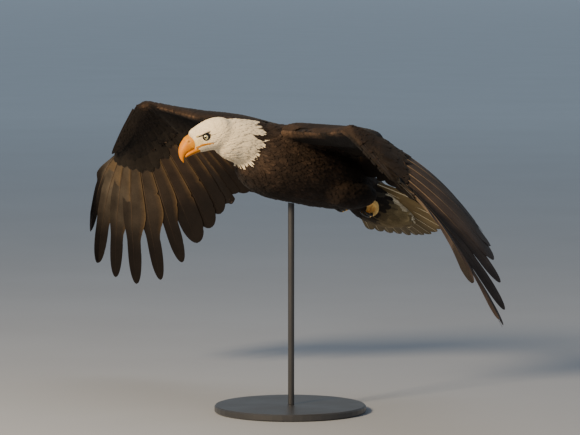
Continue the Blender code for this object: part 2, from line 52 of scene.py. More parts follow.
# ---- the solids' own sizes, metres and degrees ----
BIRD_HEIGHT, BIRD_AFT, BODY_PITCH = 0.600, -0.035, 20.0
HEAD_TURN, HEAD_DOWN = 31.0, 43.0
HEAD_PLACE = Vector((-0.0169, -0.1832, -0.0427))
SHOULDER = Vector((0.075, 0.0, 0.030))
HAND_LENGTH, SWEEP, ELBOW_AFT = 0.160, 0.032, 0.124
PRIMARY_LENGTHS = (0.324, 0.428, 0.460, 0.473, 0.462, 0.420, 0.379, 0.356, 0.337, 0.328)
FINGER_WIDTHS = (0.034, 0.032, 0.034, 0.037, 0.037, 0.042)
FINGERS_FROM = 0.74
SECONDARIES, TERTIALS, SECONDARY_LENGTH = 14, 3, 0.300
LAST = 9 + SECONDARIES + TERTIALS + 1
BONE_AT = 0.42  # where the bones' line lies in the flesh, from the leading edge to the coverts' end
WING_POSE = {
    "left": {
        "wrist": Vector((0.303, -0.118, -0.018)),
        "hand": Vector((0.800, 0.220, -0.555)),
        "fan": (
            (0.0, 0.800, 0.205, -0.575),
            (3.0, 0.680, 0.402, -0.614),
            (6.0, 0.690, 0.560, -0.455),
            (9.0, 0.565, 0.740, -0.365),
            (23.0, -0.520, 0.835, -0.165),
        ),
        "arch": 0.030,
        "flat": 0.55,
        "edge": 0.012,
        "flex": 0.055,
    },
    "right": {
        "wrist": Vector((0.327, -0.083, 0.019)),
        "hand": Vector((0.749, 0.354, -0.560)),
        "fan": (
            (0.0, 0.725, 0.420, -0.545),
            (3.0, 0.476, 0.618, -0.626),
            (6.0, 0.185, 0.812, -0.552),
            (9.0, -0.020, 0.900, -0.435),
            (23.0, -0.345, 0.933, -0.100),
        ),
        "arch": 0.028,
        "flat": 0.0,
        "edge": 0.029,
        "flex": 0.0,
    },
}
SIDES = {"left": 1.0, "right": -1.0}
TAIL_FEATHERS, TAIL_LENGTH, TAIL_SPREAD, TAIL_DROOP, TAIL_ROLL = 12, 0.264, 29.0, 12.5, 4.0
TAIL_LIFT = 0.040
TAIL_ROOT = Vector((0.0, 0.215, -0.010))
WHOLE_COVERT = 0.135  # how far the arm's flesh and coverts reach from the base

# ---- sizes of the looks ----
SKIN_VOXEL = 0.0042
SKIN_MARGIN = 0.0010  # the flesh solids are swelled by it before they are fused
FEATHER_TRIES = 100000  # random places on the skin, thinned to an even spacing
FLESH_FIRST, WING_FIRST = 0.010, 0.003  # how much nearer the wing's flesh is where the coverts lie alone
BARE_FROM = 0.010  # skin further than this from any covert needs feathers of its own
FLOOR_RADIUS = 160.0
CAMERA_AZIMUTH, CAMERA_ELEVATION, CAMERA_DISTANCE = 51.0, 4.5, 7.16
CAMERA_SHIFT = (0.02667, 0.16111)
VANE_EDGE, VANE_SHAFT = 0.0003, 0.0005  # a large vane's thickness, and how much more at its shaft

BIRD = Matrix.Translation((0.0, BIRD_AFT, BIRD_HEIGHT)) @ Matrix.Rotation(math.radians(-BODY_PITCH), 4, "X")
HEAD_IN_BIRD = (
    Matrix.Translation(HEAD_PLACE)
    @ Matrix.Rotation(math.radians(-HEAD_TURN), 4, "Z")
    @ Matrix.Rotation(math.radians(HEAD_DOWN), 4, "X")
)
TO_HEAD = HEAD_IN_BIRD.inverted()
FROM_BIRD = BIRD.inverted()
HEAD = BIRD @ HEAD_IN_BIRD

# ---- colours, linear ----
DARK = np.array((0.0085, 0.0062, 0.0052))
BROWN = np.array((0.024, 0.0158, 0.0112))
RUFOUS = np.array((0.066, 0.040, 0.025))
GREY = np.array((0.062, 0.049, 0.035))
GOLD = np.array((0.340, 0.210, 0.090))
CREAM = np.array((0.820, 0.690, 0.480))
WHITE = np.array((0.930, 0.770, 0.540))
TAIL_WHITE = np.array((0.640, 0.570, 0.420))
LORE = np.array((0.660, 0.490, 0.150))
YELLOW = np.array((0.600, 0.200, 0.002))
CERE = np.array((0.640, 0.250, 0.004))
# painted light: a paler, brighter yellow than the feet's own, so that the feet, which lie in shade, look
# sunlit
LEG = np.array((0.930, 0.600, 0.200))
# painted shade: the floor is darker near the stand, where the lamps light it most, and paler far off
FLOOR_NEAR, FLOOR_FAR = (0.33, 0.35, 0.39), (0.70, 0.80, 0.90)
SKY, SKY_STRENGTH = (0.49, 0.56, 0.63), 0.54
IRIS_INNER, IRIS_OUTER = np.array((0.55, 0.42, 0.12)), np.array((0.74, 0.66, 0.36))
SHAFT_BROWN = np.array((0.115, 0.078, 0.048))
# painted shade: the tail feathers' undersides are tinted this much darker than their backs
TAIL_UNDERSIDE_PAINTED_SHADE = np.array((0.22, 0.185, 0.125))


# ---- small sums ----
def smooth(t):
    t = np.clip(t, 0.0, 1.0)
    return t * t * (3 - 2 * t)


def unit(a):
    return a / np.maximum(np.linalg.norm(a, axis=-1, keepdims=True), 1e-12)


def dot(a, b):
    return (a * b).sum(-1, keepdims=True)


def mix(a, b, t):
    return a + (b - a) * t


def moved(points, matrix):
    m = np.array(matrix)
    return points @ m[:3, :3].T + m[:3, 3]


def turned(vectors, matrix):
    return vectors @ np.array(matrix)[:3, :3].T


def in_head(points):
    """Points of the bird's frame in the head's frame."""
    return moved(points, TO_HEAD)


def pairs(a, b):
    """Two arrays spread to one shape, side by side."""
    return np.stack(np.broadcast_arrays(a, b), -1)


def walk(line):
    """How far along a row of points each of them is."""
    return np.concatenate([[0], np.cumsum(np.linalg.norm(np.diff(line, axis=0), axis=1))])


def spline(keys, t):
    """Values of a smooth curve through keys, tuples of which the first number is the place, at place t."""
    places = [key[0] for key in keys]
    i = max(0, min(len(keys) - 2, sum(place <= t for place in places) - 1))
    x0, x1 = places[i], places[i + 1]
    u = (t - x0) / (x1 - x0)
    values = []
    for k in range(1, len(keys[0])):
        y0, y1 = keys[i][k], keys[i + 1][k]
        before = keys[i - 1] if i > 0 else keys[i]
        after = keys[i + 2] if i + 2 < len(keys) else keys[i + 1]
        m0 = (y1 - before[k]) / (x1 - before[0]) * (x1 - x0)
        m1 = (after[k] - y0) / (after[0] - x0) * (x1 - x0)
        values.append(
            y0 * (1 + 2 * u) * (1 - u) ** 2
            + m0 * u * (1 - u) ** 2
            + y1 * u * u * (3 - 2 * u)
            + m1 * u * u * (u - 1)
        )
    return values


def mottle(points, size, seed):
    """A soft pseudo-random field of about -1 to 1 over points, made of a few sine waves."""
    waves = np.random.default_rng(seed)
    total = np.zeros(points.shape[:-1])
    for _ in range(7):
        heading = unit(waves.normal(size=3)) * 2 * math.pi / (size * waves.uniform(0.6, 1.8))
        total += np.sin(points @ heading + waves.uniform(0, 6.28))
    return total / 3.2


# ---- meshes ----
# stations along a small vane, and its half width there
ROUND = (
    np.array((0.0, 0.30, 0.56, 0.76, 0.90, 0.975, 1.0)),
    np.array((0.60, 0.95, 1.0, 0.90, 0.66, 0.34, 0.0)),
)
SCALE = (
    np.array((0.0, 0.40, 0.70, 0.88, 0.97, 1.0)),
    np.array((0.70, 1.0, 0.95, 0.70, 0.36, 0.0)),
)
LANCE = (ROUND[0], np.array((0.70, 1.0, 0.94, 0.74, 0.46, 0.20, 0.0)))
# places across a large vane, from its outer edge over the shaft to its inner edge
ACROSS = np.array((-1.0, -0.72, -0.42, -0.12, 0.0, 0.12, 0.36, 0.62, 0.90, 1.0))
SHAFT = 4
PLUME_PATCH, TUBE_PATCH, LOFT_PATCH = 0.003, 0.0015, 0.2  # how much of the unwrap each kind takes
SHARP_ANGLE = 60


def ring_quads(rings, around):
    """Quads that join each closed ring of points to the next."""
    i, j = np.meshgrid(np.arange(rings - 1), np.arange(around), indexing="ij")
    here, ahead, after = i * around, (i + 1) * around, (j + 1) % around
    return np.stack([here + j, here + after, ahead + after, ahead + j], -1).reshape(-1, 4)


def end_fans(rings, around):
    """Triangles that close the first and the last ring round two points numbered after them."""
    middle, start = rings * around, (rings - 1) * around
    tris = [(middle, (j + 1) % around, j) for j in range(around)]
    return tris + [(middle + 1, start + j, start + (j + 1) % around) for j in range(around)]


def read(collection, field, width, kind=float):
    """A field of a mesh's elements as an array of rows."""
    values = np.empty(len(collection) * width, kind)
    collection.foreach_get(field, values)
    return values.reshape(-1, width)


def new_object(name, data):
    obj = bpy.data.objects.new(name, data)
    bpy.context.scene.collection.objects.link(obj)
    return obj


class Coat:
    """Gathers vanes, each a closed thin body, into one mesh with tints and an unwrap by their roots."""

    def __init__(self, name):
        self.name, self.count = name, 0
        self.points, self.quads, self.tris, self.tints, self.bakes, self.vanes = [], [], [], [], [], []

    def add(self, points, quads, tris, tints, bakes, vanes):
        self.points.append(points.reshape(-1, 3))
        self.quads.append(np.asarray(quads, np.int64).reshape(-1, 4) + self.count)
        self.tris.append(np.asarray(tris, np.int64).reshape(-1, 3) + self.count)
        self.tints.append(tints.reshape(-1, 3))
        self.bakes.append(bakes.reshape(-1, 2))
        self.vanes.append(vanes.reshape(-1, 2))
        self.count += len(self.points[-1])

    def plumes(self, paths, normals, half_widths, form, tints, places, ridge=0.10, drop=0.20):
        """Small vanes along paths (n, k, 3): three corners round each station, the last one a point."""
        stations, shape = form
        n, k = paths.shape[:2]
        along = unit(np.gradient(paths, axis=1))
        across = unit(np.cross(along, normals))
        up = np.cross(across, along)[:, :-1]
        width = (half_widths[:, None] * shape[None, :])[:, :-1, None]
        spine, aside, fall = paths[:, :-1], across[:, :-1] * width, up * (drop * width)
        rows = np.empty((n, k - 1, 3, 3))
        rows[:, :, 0] = spine - aside - fall
        rows[:, :, 1] = spine + up * (ridge * width + 0.0002)
        rows[:, :, 2] = spine + aside - fall
        size = 3 * (k - 1) + 1
        points = np.concatenate([rows.reshape(n, -1, 3), paths[:, -1:]], axis=1)
        end = size - 4
        tris = [(0, 2, 1)] + [(end + a, end + (a + 1) % 3, size - 1) for a in range(3)]
        starts = (np.arange(n) * size)[:, None, None]
        side = np.concatenate([np.tile((-1.0, 0.0, 1.0), k - 1), (0.0,)])
        share = np.concatenate([np.repeat(stations[:-1], 3), (1.0,)])
        vane = np.broadcast_to(np.stack([side, share], -1), (n, size, 2))
        bake = places[:, None, :] + PLUME_PATCH * 0.5 * np.stack([side, share * 2 - 1], -1)
        quads = ring_quads(k - 1, 3) + starts
        self.add(points, quads, np.array(tris) + starts, tints(side, share), bake, vane)

    def blade(self, top, normal, share, tints, bakes, edge=VANE_EDGE):
        """One large vane: top (rows, ACROSS, 3) with a parallel underside below it, closed all round.

        share runs along it, a column; it is thickest at the shaft's root.
        """
        rows, columns = top.shape[:2]
        thick = edge + VANE_SHAFT * (1 - np.abs(ACROSS))[None, :] * (1.1 - share)
        vanes = pairs(ACROSS[None, :], share)
        around, caps = 2 * columns, []
        for row, turn in ((0, 1), (rows - 1, -1)):
            a = row * around
            for j in range(columns - 1):
                caps.append((a + j, a + around - 1 - j, a + around - 2 - j, a + j + 1)[::turn])
        halves = ((top, top - normal * thick[..., None]), tints, (bakes, bakes), (vanes, vanes))
        ring, tint, bake, vane = (np.concatenate([a, b[:, ::-1]], axis=1) for a, b in halves)
        self.add(ring, np.concatenate([ring_quads(rows, around), caps]), np.zeros((0, 3)), tint, bake, vane)

    def tube(self, path, radii, sides, tint, bake, up=(0.0, 0.0, 1.0), flat=1.0):
        """A closed tube along a path, as for a shaft, toe or ridge."""
        path, radii = np.asarray(path, float), np.asarray(radii, float)
        n = len(path)
        along = unit(np.gradient(path, axis=0))
        side = unit(np.cross(along, np.broadcast_to(np.array(up, float), path.shape)))
        lift = np.cross(side, along)
        angle = 2 * math.pi * np.arange(sides) / sides
        c, s = np.cos(angle)[None, :, None], np.sin(angle)[None, :, None]
        ring = path[:, None] + radii[:, None, None] * (c * side[:, None] + flat * s * lift[:, None])
        points = np.concatenate([ring.reshape(-1, 3), path[:1], path[-1:]])
        tint = np.broadcast_to(np.asarray(tint, float), (n, 3)) if np.ndim(tint) < 2 else tint
        tints = np.concatenate([np.repeat(tint, sides, axis=0), tint[:1], tint[-1:]])
        share = np.concatenate([np.repeat(np.linspace(0, 1, n), sides), (0, 1)])
        turn = np.concatenate([np.tile(np.cos(angle), n), (0, 0)])
        bakes = np.asarray(bake) + TUBE_PATCH * np.stack([turn, share * 2 - 1], -1)
        vanes = np.stack([turn * 0, share], -1)
        self.add(points, ring_quads(n, sides), end_fans(n, sides), tints, bakes, vanes)

    def loft(self, rings, tints):
        """A closed body through rings (n, m, 3)."""
        n, m = rings.shape[:2]
        closed = []
        for values in (rings, tints):
            ends = [values[0].mean(0)[None], values[-1].mean(0)[None]]
            closed.append(np.concatenate([values.reshape(-1, 3), *ends]))
        share = np.concatenate([np.repeat(np.linspace(0, 1, n), m), (0, 1)])
        turn = np.concatenate([np.tile(np.linspace(0, 1, m, endpoint=False), n), (0.5, 0.5)])
        vanes = np.stack([turn, share], -1)
        bakes = 0.5 + LOFT_PATCH * (vanes - 0.5)
        self.add(closed[0], ring_quads(n, m), end_fans(n, m), closed[1], bakes, vanes)

    def build(self, material, slot, matrix, nodes=()):
        points = moved(np.concatenate(self.points), matrix)
        quads, tris = np.concatenate(self.quads), np.concatenate(self.tris)
        mesh = bpy.data.meshes.new(self.name)
        mesh.vertices.add(len(points))
        mesh.vertices.foreach_set("co", points.astype(np.float32).ravel())
        corners = np.concatenate([quads.ravel(), tris.ravel()]).astype(np.int32)
        mesh.loops.add(len(corners))
        mesh.loops.foreach_set("vertex_index", corners)
        mesh.polygons.add(len(quads) + len(tris))
        starts = np.concatenate([np.arange(len(quads)) * 4, len(quads) * 4 + np.arange(len(tris)) * 3])
        mesh.polygons.foreach_set("loop_start", starts.astype(np.int32))
        mesh.update(calc_edges=True)
        mesh.validate()
        finish_mesh(mesh, *(np.concatenate(rows) for rows in (self.tints, self.bakes, self.vanes)))
        bm = bmesh.new()
        bm.from_mesh(mesh)
        bmesh.ops.recalc_face_normals(bm, faces=bm.faces)
        bm.to_mesh(mesh)
        bm.free()
        mesh.shade_smooth()
        mesh.set_sharp_from_angle(angle=math.radians(SHARP_ANGLE))
        return place(self.name, mesh, material, slot, nodes)


def finish_mesh(mesh, tints, bakes, vanes):
    """Writes a tint for each point, and two unwraps."""
    corners = read(mesh.loops, "vertex_index", 1, np.int32).ravel()
    colours = np.concatenate([tints, np.ones((len(tints), 1))], 1)
    layer = mesh.color_attributes.new("tint", "FLOAT_COLOR", "POINT")
    layer.data.foreach_set("color", colours.astype(np.float32).ravel())
    for name, values in (("OFBake", bakes), ("vane", vanes)):
        layer = mesh.uv_layers.new(name=name)
        layer.data.foreach_set("uv", values[corners].astype(np.float32).ravel())


def place(name, mesh, material, slot, nodes=()):
    obj = new_object(name, mesh)
    mesh.materials.append(material)
    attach(obj, "root")
    if nodes:
        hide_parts(*nodes)
    return obj


# ---- materials ----
class Nodes:
    """A short way to write a material's nodes."""

    def __init__(self, name, **values):
        self.material = bpy.data.materials.new(name)
        self.material.use_nodes = True
        self.tree = self.material.node_tree
        self.shader = self.tree.nodes["Principled BSDF"]
        for key, value in values.items():
            self.shader.inputs[key.replace("_", " ")].default_value = value

    def new(self, kind, **values):
        node = self.tree.nodes.new(kind)
        for key, value in values.items():
            setattr(node, key, value)
        return node

    def link(self, source, target):
        self.tree.links.new(source, target)

    def math(self, operation, a, b=0.5):
        node = self.new("ShaderNodeMath", operation=operation)
        for socket, value in zip(node.inputs, (a, b)):
            if isinstance(value, (int, float)):
                socket.default_value = value
            else:
                self.link(value, socket)
        return node.outputs[0]

    def noise(self, scale, detail):
        node = self.new("ShaderNodeTexNoise")
        node.inputs["Scale"].default_value = scale
        node.inputs["Detail"].default_value = detail
        node.inputs["Roughness"].default_value = 0.55
        self.link(self.new("ShaderNodeTexCoord").outputs["Object"], node.inputs["Vector"])
        return node.outputs["Fac"]

    def ramp(self, value, low, high, to_low, to_high):
        node = self.new("ShaderNodeMapRange", clamp=True)
        for socket, number in zip(list(node.inputs)[1:5], (low, high, to_low, to_high)):
            socket.default_value = number
        self.link(value, node.inputs[0])
        return node.outputs[0]

    def paint(self, shade):
        """Base colour: the mesh's own tint times a grey shade."""
        node = self.new("ShaderNodeVectorMath", operation="SCALE")
        self.link(self.new("ShaderNodeAttribute", attribute_name="tint").outputs["Color"], node.inputs[0])
        self.link(shade, node.inputs["Scale"])
        self.link(node.outputs[0], self.shader.inputs["Base Color"])

    def blend(self, low, high, share):
        """Base colour: from one to another by a share."""
        node = self.new("ShaderNodeMix", data_type="RGBA")
        node.inputs[6].default_value = (*low, 1)
        node.inputs[7].default_value = (*high, 1)
        self.link(share, node.inputs[0])
        self.link(node.outputs[2], self.shader.inputs["Base Color"])

    def bump(self, height, strength, distance):
        node = self.new("ShaderNodeBump")
        node.inputs["Strength"].default_value = strength
        node.inputs["Distance"].default_value = distance
        self.link(height, node.inputs["Height"])
        self.link(node.outputs["Normal"], self.shader.inputs["Normal"])


def feather_material(name, barbs, lean, roughness, sheen, streak=0.22):
    """Tinted vanes: fine barbs run slanting out from the shaft, over a soft mottle."""
    nodes = Nodes(name, Roughness=roughness, Sheen_Weight=sheen, Sheen_Roughness=0.4,
                  Specular_IOR_Level=0.14)
    split = nodes.new("ShaderNodeSeparateXYZ")
    nodes.link(nodes.new("ShaderNodeUVMap", uv_map="vane").outputs["UV"], split.inputs[0])
    aside = nodes.math("MULTIPLY", nodes.math("ABSOLUTE", split.outputs[0]), -lean)
    slant = nodes.math("ADD", aside, split.outputs[1])
    lines = nodes.math("SINE", nodes.math("MULTIPLY", slant, barbs))
    grain, cloud = nodes.noise(420.0, 2.0), nodes.noise(38.0, 4.0)
    shade = nodes.math("ADD", nodes.ramp(grain, 0.3, 0.7, 1 - streak, 1 + streak),
                       nodes.ramp(cloud, 0.3, 0.7, -streak, streak))
    nodes.paint(nodes.math("ADD", shade, nodes.math("MULTIPLY", lines, 0.04)))
    nodes.bump(nodes.math("ADD", lines, nodes.math("MULTIPLY", grain, 2.0)), 0.25, 0.0002)
    return nodes.material


def horn_material(name, roughness, low=0.85, high=1.12, fine=260.0, coat=0.0):
    """Tinted horn or bare skin with fine mottling."""
    nodes = Nodes(name, Roughness=roughness, Coat_Weight=coat, Coat_Roughness=0.25,
                  Specular_IOR_Level=0.25, Subsurface_Weight=0.06, Subsurface_Scale=0.002)
    broad, grain = nodes.noise(60.0, 4.0), nodes.noise(fine, 3.0)
    both = nodes.math("ADD", nodes.math("MULTIPLY", broad, 0.6), nodes.math("MULTIPLY", grain, 0.4))
    nodes.paint(nodes.ramp(both, 0.35, 0.65, low, high))
    nodes.bump(grain, 0.3, 0.0004)
    return nodes.material


def stand_material():
    nodes = Nodes("stand_paint", Roughness=0.42, Coat_Weight=0.3, Coat_Roughness=0.3)
    grain, cloud = nodes.noise(900.0, 2.0), nodes.noise(9.0, 4.0)
    nodes.blend((0.020, 0.020, 0.022), (0.036, 0.036, 0.039), cloud)
    nodes.link(nodes.ramp(cloud, 0.3, 0.7, 0.36, 0.50), nodes.shader.inputs["Roughness"])
    nodes.bump(grain, 0.15, 0.0003)
    return nodes.material


# ---- wing ----
class Wing:
    """Where the wing's sheet lies, as in the solids."""

    def __init__(self, side):
        pose = WING_POSE[side]
        self.sign, self.side = SIDES[side], side
        self.wrist = SHOULDER + pose["wrist"]
        self.hand = pose["hand"].normalized()
        self.elbow = (SHOULDER + self.wrist) / 2 + Vector((0.0, ELBOW_AFT, 0.018))
        self.fan, self.arch, self.flex = pose["fan"], pose["arch"], pose["flex"]
        self.flat, self.edge = pose["flat"], pose["edge"]
        self.wrist_edge = max(0.020, self.edge - 0.003)

    def mirrored(self, vectors):
        """What is worked out for the left wing, on this wing's side."""
        return np.array(vectors) * (self.sign, 1, 1)

    def normals(self, places, top):
        """Away from the back of the wing, or from its underside, at feather places."""
        return self.mirrored([self.normal(float(v)) for v in places]) * (1 if top else -1)

    @functools.lru_cache(None)
    def base(self, v):
        if v <= 9:
            return self.wrist + self.hand * HAND_LENGTH * (9 - v) / 9
        root = SHOULDER + Vector((-0.01, 0.02, 0.0))
        middle, near = self.wrist.lerp(self.elbow, 0.35), self.wrist.lerp(self.elbow, 0.70)
        bend = self.elbow.lerp(root, 0.12) - Vector((0.0, 0.010, 0.0))
        keys = ((9, *self.wrist), (14, *middle), (19, *near), (23.5, *bend), (LAST, *root))
        return Vector(spline(keys, v))

    @functools.lru_cache(None)
    def direction(self, v):
        return Vector(spline(self.fan, min(v, self.fan[-1][0]))).normalized()

    @functools.lru_cache(None)
    def length(self, v):
        if v <= 9:
            i = max(0, min(8, int(v)))
            a, b = PRIMARY_LENGTHS[i], PRIMARY_LENGTHS[i + 1]
            bent = self.flex * math.sin(math.pi * max(0.0, min(1.0, (v - 1) / 6)))
            return (a + (b - a) * (v - i)) * (1 - bent)
        return SECONDARY_LENGTH * (1 - 0.50 * float(smooth((v - 17) / (LAST - 14))))

    @functools.lru_cache(None)
    def normal(self, v):
        """Away from the back of the wing."""
        total = Vector()
        for step in (-2.0, 0.0, 2.0):
            a = max(0.0, min(float(LAST), v + step))
            lo, hi = max(0.0, a - 0.5), min(float(LAST), a + 0.5)
            ahead = self.base(lo) - self.base(hi) + (self.direction(lo) - self.direction(hi)) * 0.15
            ahead = ahead.normalized().lerp(Vector((1.0, 0.0, -0.1)), float(smooth((a - 19) / 5)))
            total += ahead.cross(self.direction(a)).normalized()
        return total.normalized()

    def sharp_edge(self, v):
        """The leading edge with a corner at the wrist."""
        hand_edge = -self.hand.cross(self.normal(5.0)).normalized()
        if v <= 9:
            return self.base(v) - hand_edge * (self.edge + (self.wrist_edge - self.edge) * v / 9)
        t = (v - 9) / (LAST - 9)
        rooted = SHOULDER + Vector((-0.012, -0.052, -0.008))
        drawn_back = Vector((0, 0.018, 0)) * math.sin(math.pi * t)
        return (self.wrist - hand_edge * self.wrist_edge).lerp(rooted, t) + drawn_back

    def lead(self, v):
        """The leading edge, rounded at the wrist."""
        reach = 1.5 * max(0.0, 1 - abs(v - 9) / 4)
        return (self.sharp_edge(v - reach) + self.sharp_edge(v) + self.sharp_edge(v + reach)) / 3

    def centre(self, v, s):
        """A point of the sheet s metres from the base along feather v."""
        share, along, normal = s / self.length(v), self.direction(v), self.normal(v)
        bend = 4 * share * (1 - share)
        flatter = self.flat * (1.0 - float(smooth((v + 1) / 4)))
        bow = self.arch * (1.0 - 0.25 * float(smooth(v - 9))) * (1.0 - flatter)
        sweep = SWEEP * (1.0 - max(0.0, v) / 9) if v <= 9 else 0.0
        return self.base(v) + along * s + (normal * bow + along.cross(normal) * sweep) * bend

    def covert(self, v):
        """How far the flesh and coverts reach from the base."""
        return 0.085 + 0.030 * v / 9 if v <= 9 else 0.115 + 0.020 * float(smooth((v - 9) / 8))

    def thickness(self, v):
        """Of the flesh."""
        if v <= 9.3:
            return 0.010 + 0.012 * max(0.0, v) / 9
        return 0.022 + 0.026 * float(smooth((v - 9) / 14))

    def side_points(self, v, s, side):
        """Points of the sheet beside feather v, half a feather apart, tipwards (-1) or bodywards (+1)."""
        spots = [self.centre(v, s)]
        for step in (0.5, 1.0, 1.5):
            w = v + side * step
            if -0.5 <= w <= LAST:
                spots.append(self.centre(w, s + self.covert(w) - self.covert(v)))
        if len(spots) < 2:
            spots.append(spots[0] + Vector((0.02 * side * -1, 0, 0)))
        return spots


def beside(spots, reach):
    """The point at that distance along a row of points, straight on past its end."""
    for a, b in zip(spots, spots[1:]):
        gap = (b - a).length
        if reach <= gap or b is spots[-1]:
            return a + (b - a) * (reach / gap)
        reach -= gap


def blunt_end(share, start, power):
    return math.sqrt(max(0.0, 1 - max(0.0, (share - start) / (1 - start)) ** power))


def vane_reach(index, share, half, side):
    """How far a vane reaches from its shaft, where half is half the way to the next shaft.

    The outer six are cut in at a notch, then stand alone as fingers; the others overlap to their tips.
    """
    wide = (1.9 if side > 0 else 1.35) * half
    if index >= len(FINGER_WIDTHS):
        width = (0.068 if index <= 9 else 0.064) * (0.60 if side > 0 else 0.40)
        return min(wide, width * blunt_end(share, 0.84, 1.9 if side > 0 else 2.6))
    notched = float(smooth((share - 0.445 - 0.012 * index) / (0.11 + 0.01 * index)))
    narrow = float(smooth((share - FINGERS_FROM + 0.16) / 0.18))
    if index == 0 and side < 0:
        wide *= 0.6 + float(smooth((share - 0.22) / 0.25))
    part, past_notch = (0.58, 1.8) if side > 0 else (0.42, 1.1)
    full = min(wide * (1 - notched) + past_notch * half * notched, 0.100 * part)
    finger = min(half - 0.0004, FINGER_WIDTHS[index] * part)
    return mix(full, finger, narrow) * blunt_end(share, 0.80, 2.0 if side > 0 else 3.0)


def flight_tints(index, share, top):
    """Colours of a flight feather's back and underside; share runs along it, a column."""
    own = 1 + 0.10 * rng.uniform(-1, 1)
    streaks = mottle(top, 0.05, 40 + index)[..., None]
    edge = smooth((ACROSS - 0.85) / 0.12)[None, :]
    leading = smooth((-ACROSS - 0.1) / 0.4)[None, :]
    above = mix(BROWN, DARK * 5.0, smooth((share - 0.2) / 0.4)[..., None]) * own * (1 + 0.15 * streaks)
    above = mix(above, RUFOUS, (0.30 * smooth(streaks[..., 0]) * (1 - share) + 0.22 * edge)[..., None])
    inner = float(smooth((index - 0.5) / 6.5))
    below = mix(GREY * (1.45 if index in (1, 2) else 1.0), BROWN * 1.35, inner)
    below = below * (1 + 0.14 * math.sin(2.0 * index + 0.8)) * own * (1 + 0.20 * streaks)
    below = mix(below, DARK * 1.15, smooth((share - 0.46) / 0.38)[..., None])
    golden = {0: 0.55, 1: 0.40, 2: 0.12}.get(index, 0.04)
    golden = golden * smooth((0.50 - share) / 0.14) * smooth((ACROSS + 0.1) / 0.3)
    below = mix(below, GOLD * 0.42, golden[..., None])
    # The outer vane's underside darkens past the base, which is partly the primaries' own darker outer vanes;
    # on the outermost primary it is much darker, and in the block below also its outer half and base, which
    # is painted shade.
    below = mix(below, DARK, (leading * (0.40 if index else 0.85) * smooth((share - 0.25) / 0.2))[..., None])
    if index == 0:
        below = mix(below, DARK * 1.6, (0.8 * smooth((share - 0.45) / 0.15))[..., None])
        below = mix(DARK * 1.4, below, smooth((share - 0.17) / 0.10)[..., None])
    rim = edge * 0.65 * smooth((0.78 - share) / 0.15) * smooth((share - 0.20) / 0.10)
    below = mix(below, GOLD * 0.50, rim[..., None])
    return above, below


def flight_feather(coat, wing, index, rows=64):
    """One primary or secondary; its inner vane lies under its inner neighbour's outer vane."""
    v = float(index)
    length, start = wing.length(v), wing.covert(v) * 0.55
    top = np.empty((rows, len(ACROSS), 3))
    shares, reaches = np.empty(rows), np.empty((rows, 2))
    split_at, split_deep = rng.uniform(0.45, 0.93, 4), rng.uniform(0.02, 0.12, 4)
    for r in range(rows):
        s = start + (length - start) * (1 - (1 - r / (rows - 1)) ** 1.25)
        share = shares[r] = s / length
        for k, side in enumerate((-1, 1)):
            spots = wing.side_points(v, s, side)
            reach = max(vane_reach(index, share, (spots[1] - spots[0]).length, side), 0.0006)
            if side > 0:
                reach *= 1 - (split_deep * np.exp(-((share - split_at) / 0.005) ** 2)).sum()
            reaches[r, k] = reach
            for j, across in enumerate(ACROSS):
                if across * side > 0 or (across == 0 and side > 0):
                    top[r, j] = beside(spots, reach * abs(across)) if across else spots[0]
    normal = np.array(wing.normal(v))
    lateral = np.where(ACROSS < 0, ACROSS * reaches[:, :1], ACROSS * reaches[:, 1:])
    twist = 0.24 * max(0, 3 - index) / 3 * smooth((shares - 0.30) / 0.35)[:, None]
    lift = lateral * (twist - 0.030) - 0.0009 * ACROSS ** 2 * smooth((1 - shares) / 0.1)[:, None]
    top = wing.mirrored(top + normal * lift[..., None] + normal * 0.0004)
    normal, share = wing.mirrored(normal), shares[:, None]
    strip = pairs((index + 0.5 + 0.44 * ACROSS[None, :]) / LAST * 0.96 + 0.01, 0.02 + 0.96 * share)
    coat.blade(top, normal, share, flight_tints(index, share, top), strip)
    tint = mix(SHAFT_BROWN, DARK * 2.5, smooth((shares - 0.4) / 0.5)[:, None])
    tint = mix(DARK * 2.0, tint, smooth((shares - 0.15) / 0.10)[:, None])
    shaft = top[:-4, SHAFT] - normal * 0.0003
    coat.tube(shaft, 0.0018 * (1 - 0.88 * shares[:-4]), 6, tint[:-4], strip[rows // 2, SHAFT], normal)


def alula(coat, wing, rows=24):
    """Three stiff feathers of the thumb, one on the other along the hand's leading edge."""
    up = wing.normal(5.0)
    inwards, normal = -wing.hand.cross(up).normalized(), wing.mirrored(up)
    for layer, (root, tip) in enumerate(((7.0, -2.4), (7.4, -1.9), (7.8, -0.8))):
        shares, top = np.linspace(0, 1, rows), np.empty((rows, len(ACROSS), 3))
        inset, raised = 0.007 + 0.006 * layer, 0.0050 + 0.0015 * layer
        for r, share in enumerate(shares):
            spine = wing.base(root + (tip - root) * share) - inwards * (wing.edge - inset) + up * raised
            end = max(blunt_end(share, 0.40, 1.25), 0.05)
            for j, across in enumerate(ACROSS):
                wide = 0.019 + 0.008 * layer if across > 0 else 0.007
                top[r, j] = spine + inwards * (across * wide * end)
        top, share = wing.mirrored(top), shares[:, None]
        strip = pairs(0.972 + 0.008 * layer + 0.003 * ACROSS[None, :], 0.02 + 0.96 * share)
        tone = mix(BROWN, DARK * 1.5, share[..., None])
        tone = tone * (1 + 0.12 * mottle(top, 0.04, 90 + layer))[..., None]
        coat.blade(top, normal, share, (tone, tone * 0.8), strip, edge=0.0004)
        radii = 0.0014 * (1 - 0.8 * shares[:-1])
        coat.tube(top[:-1, SHAFT], radii, 6, DARK * 3, strip[rows // 2, SHAFT], normal)


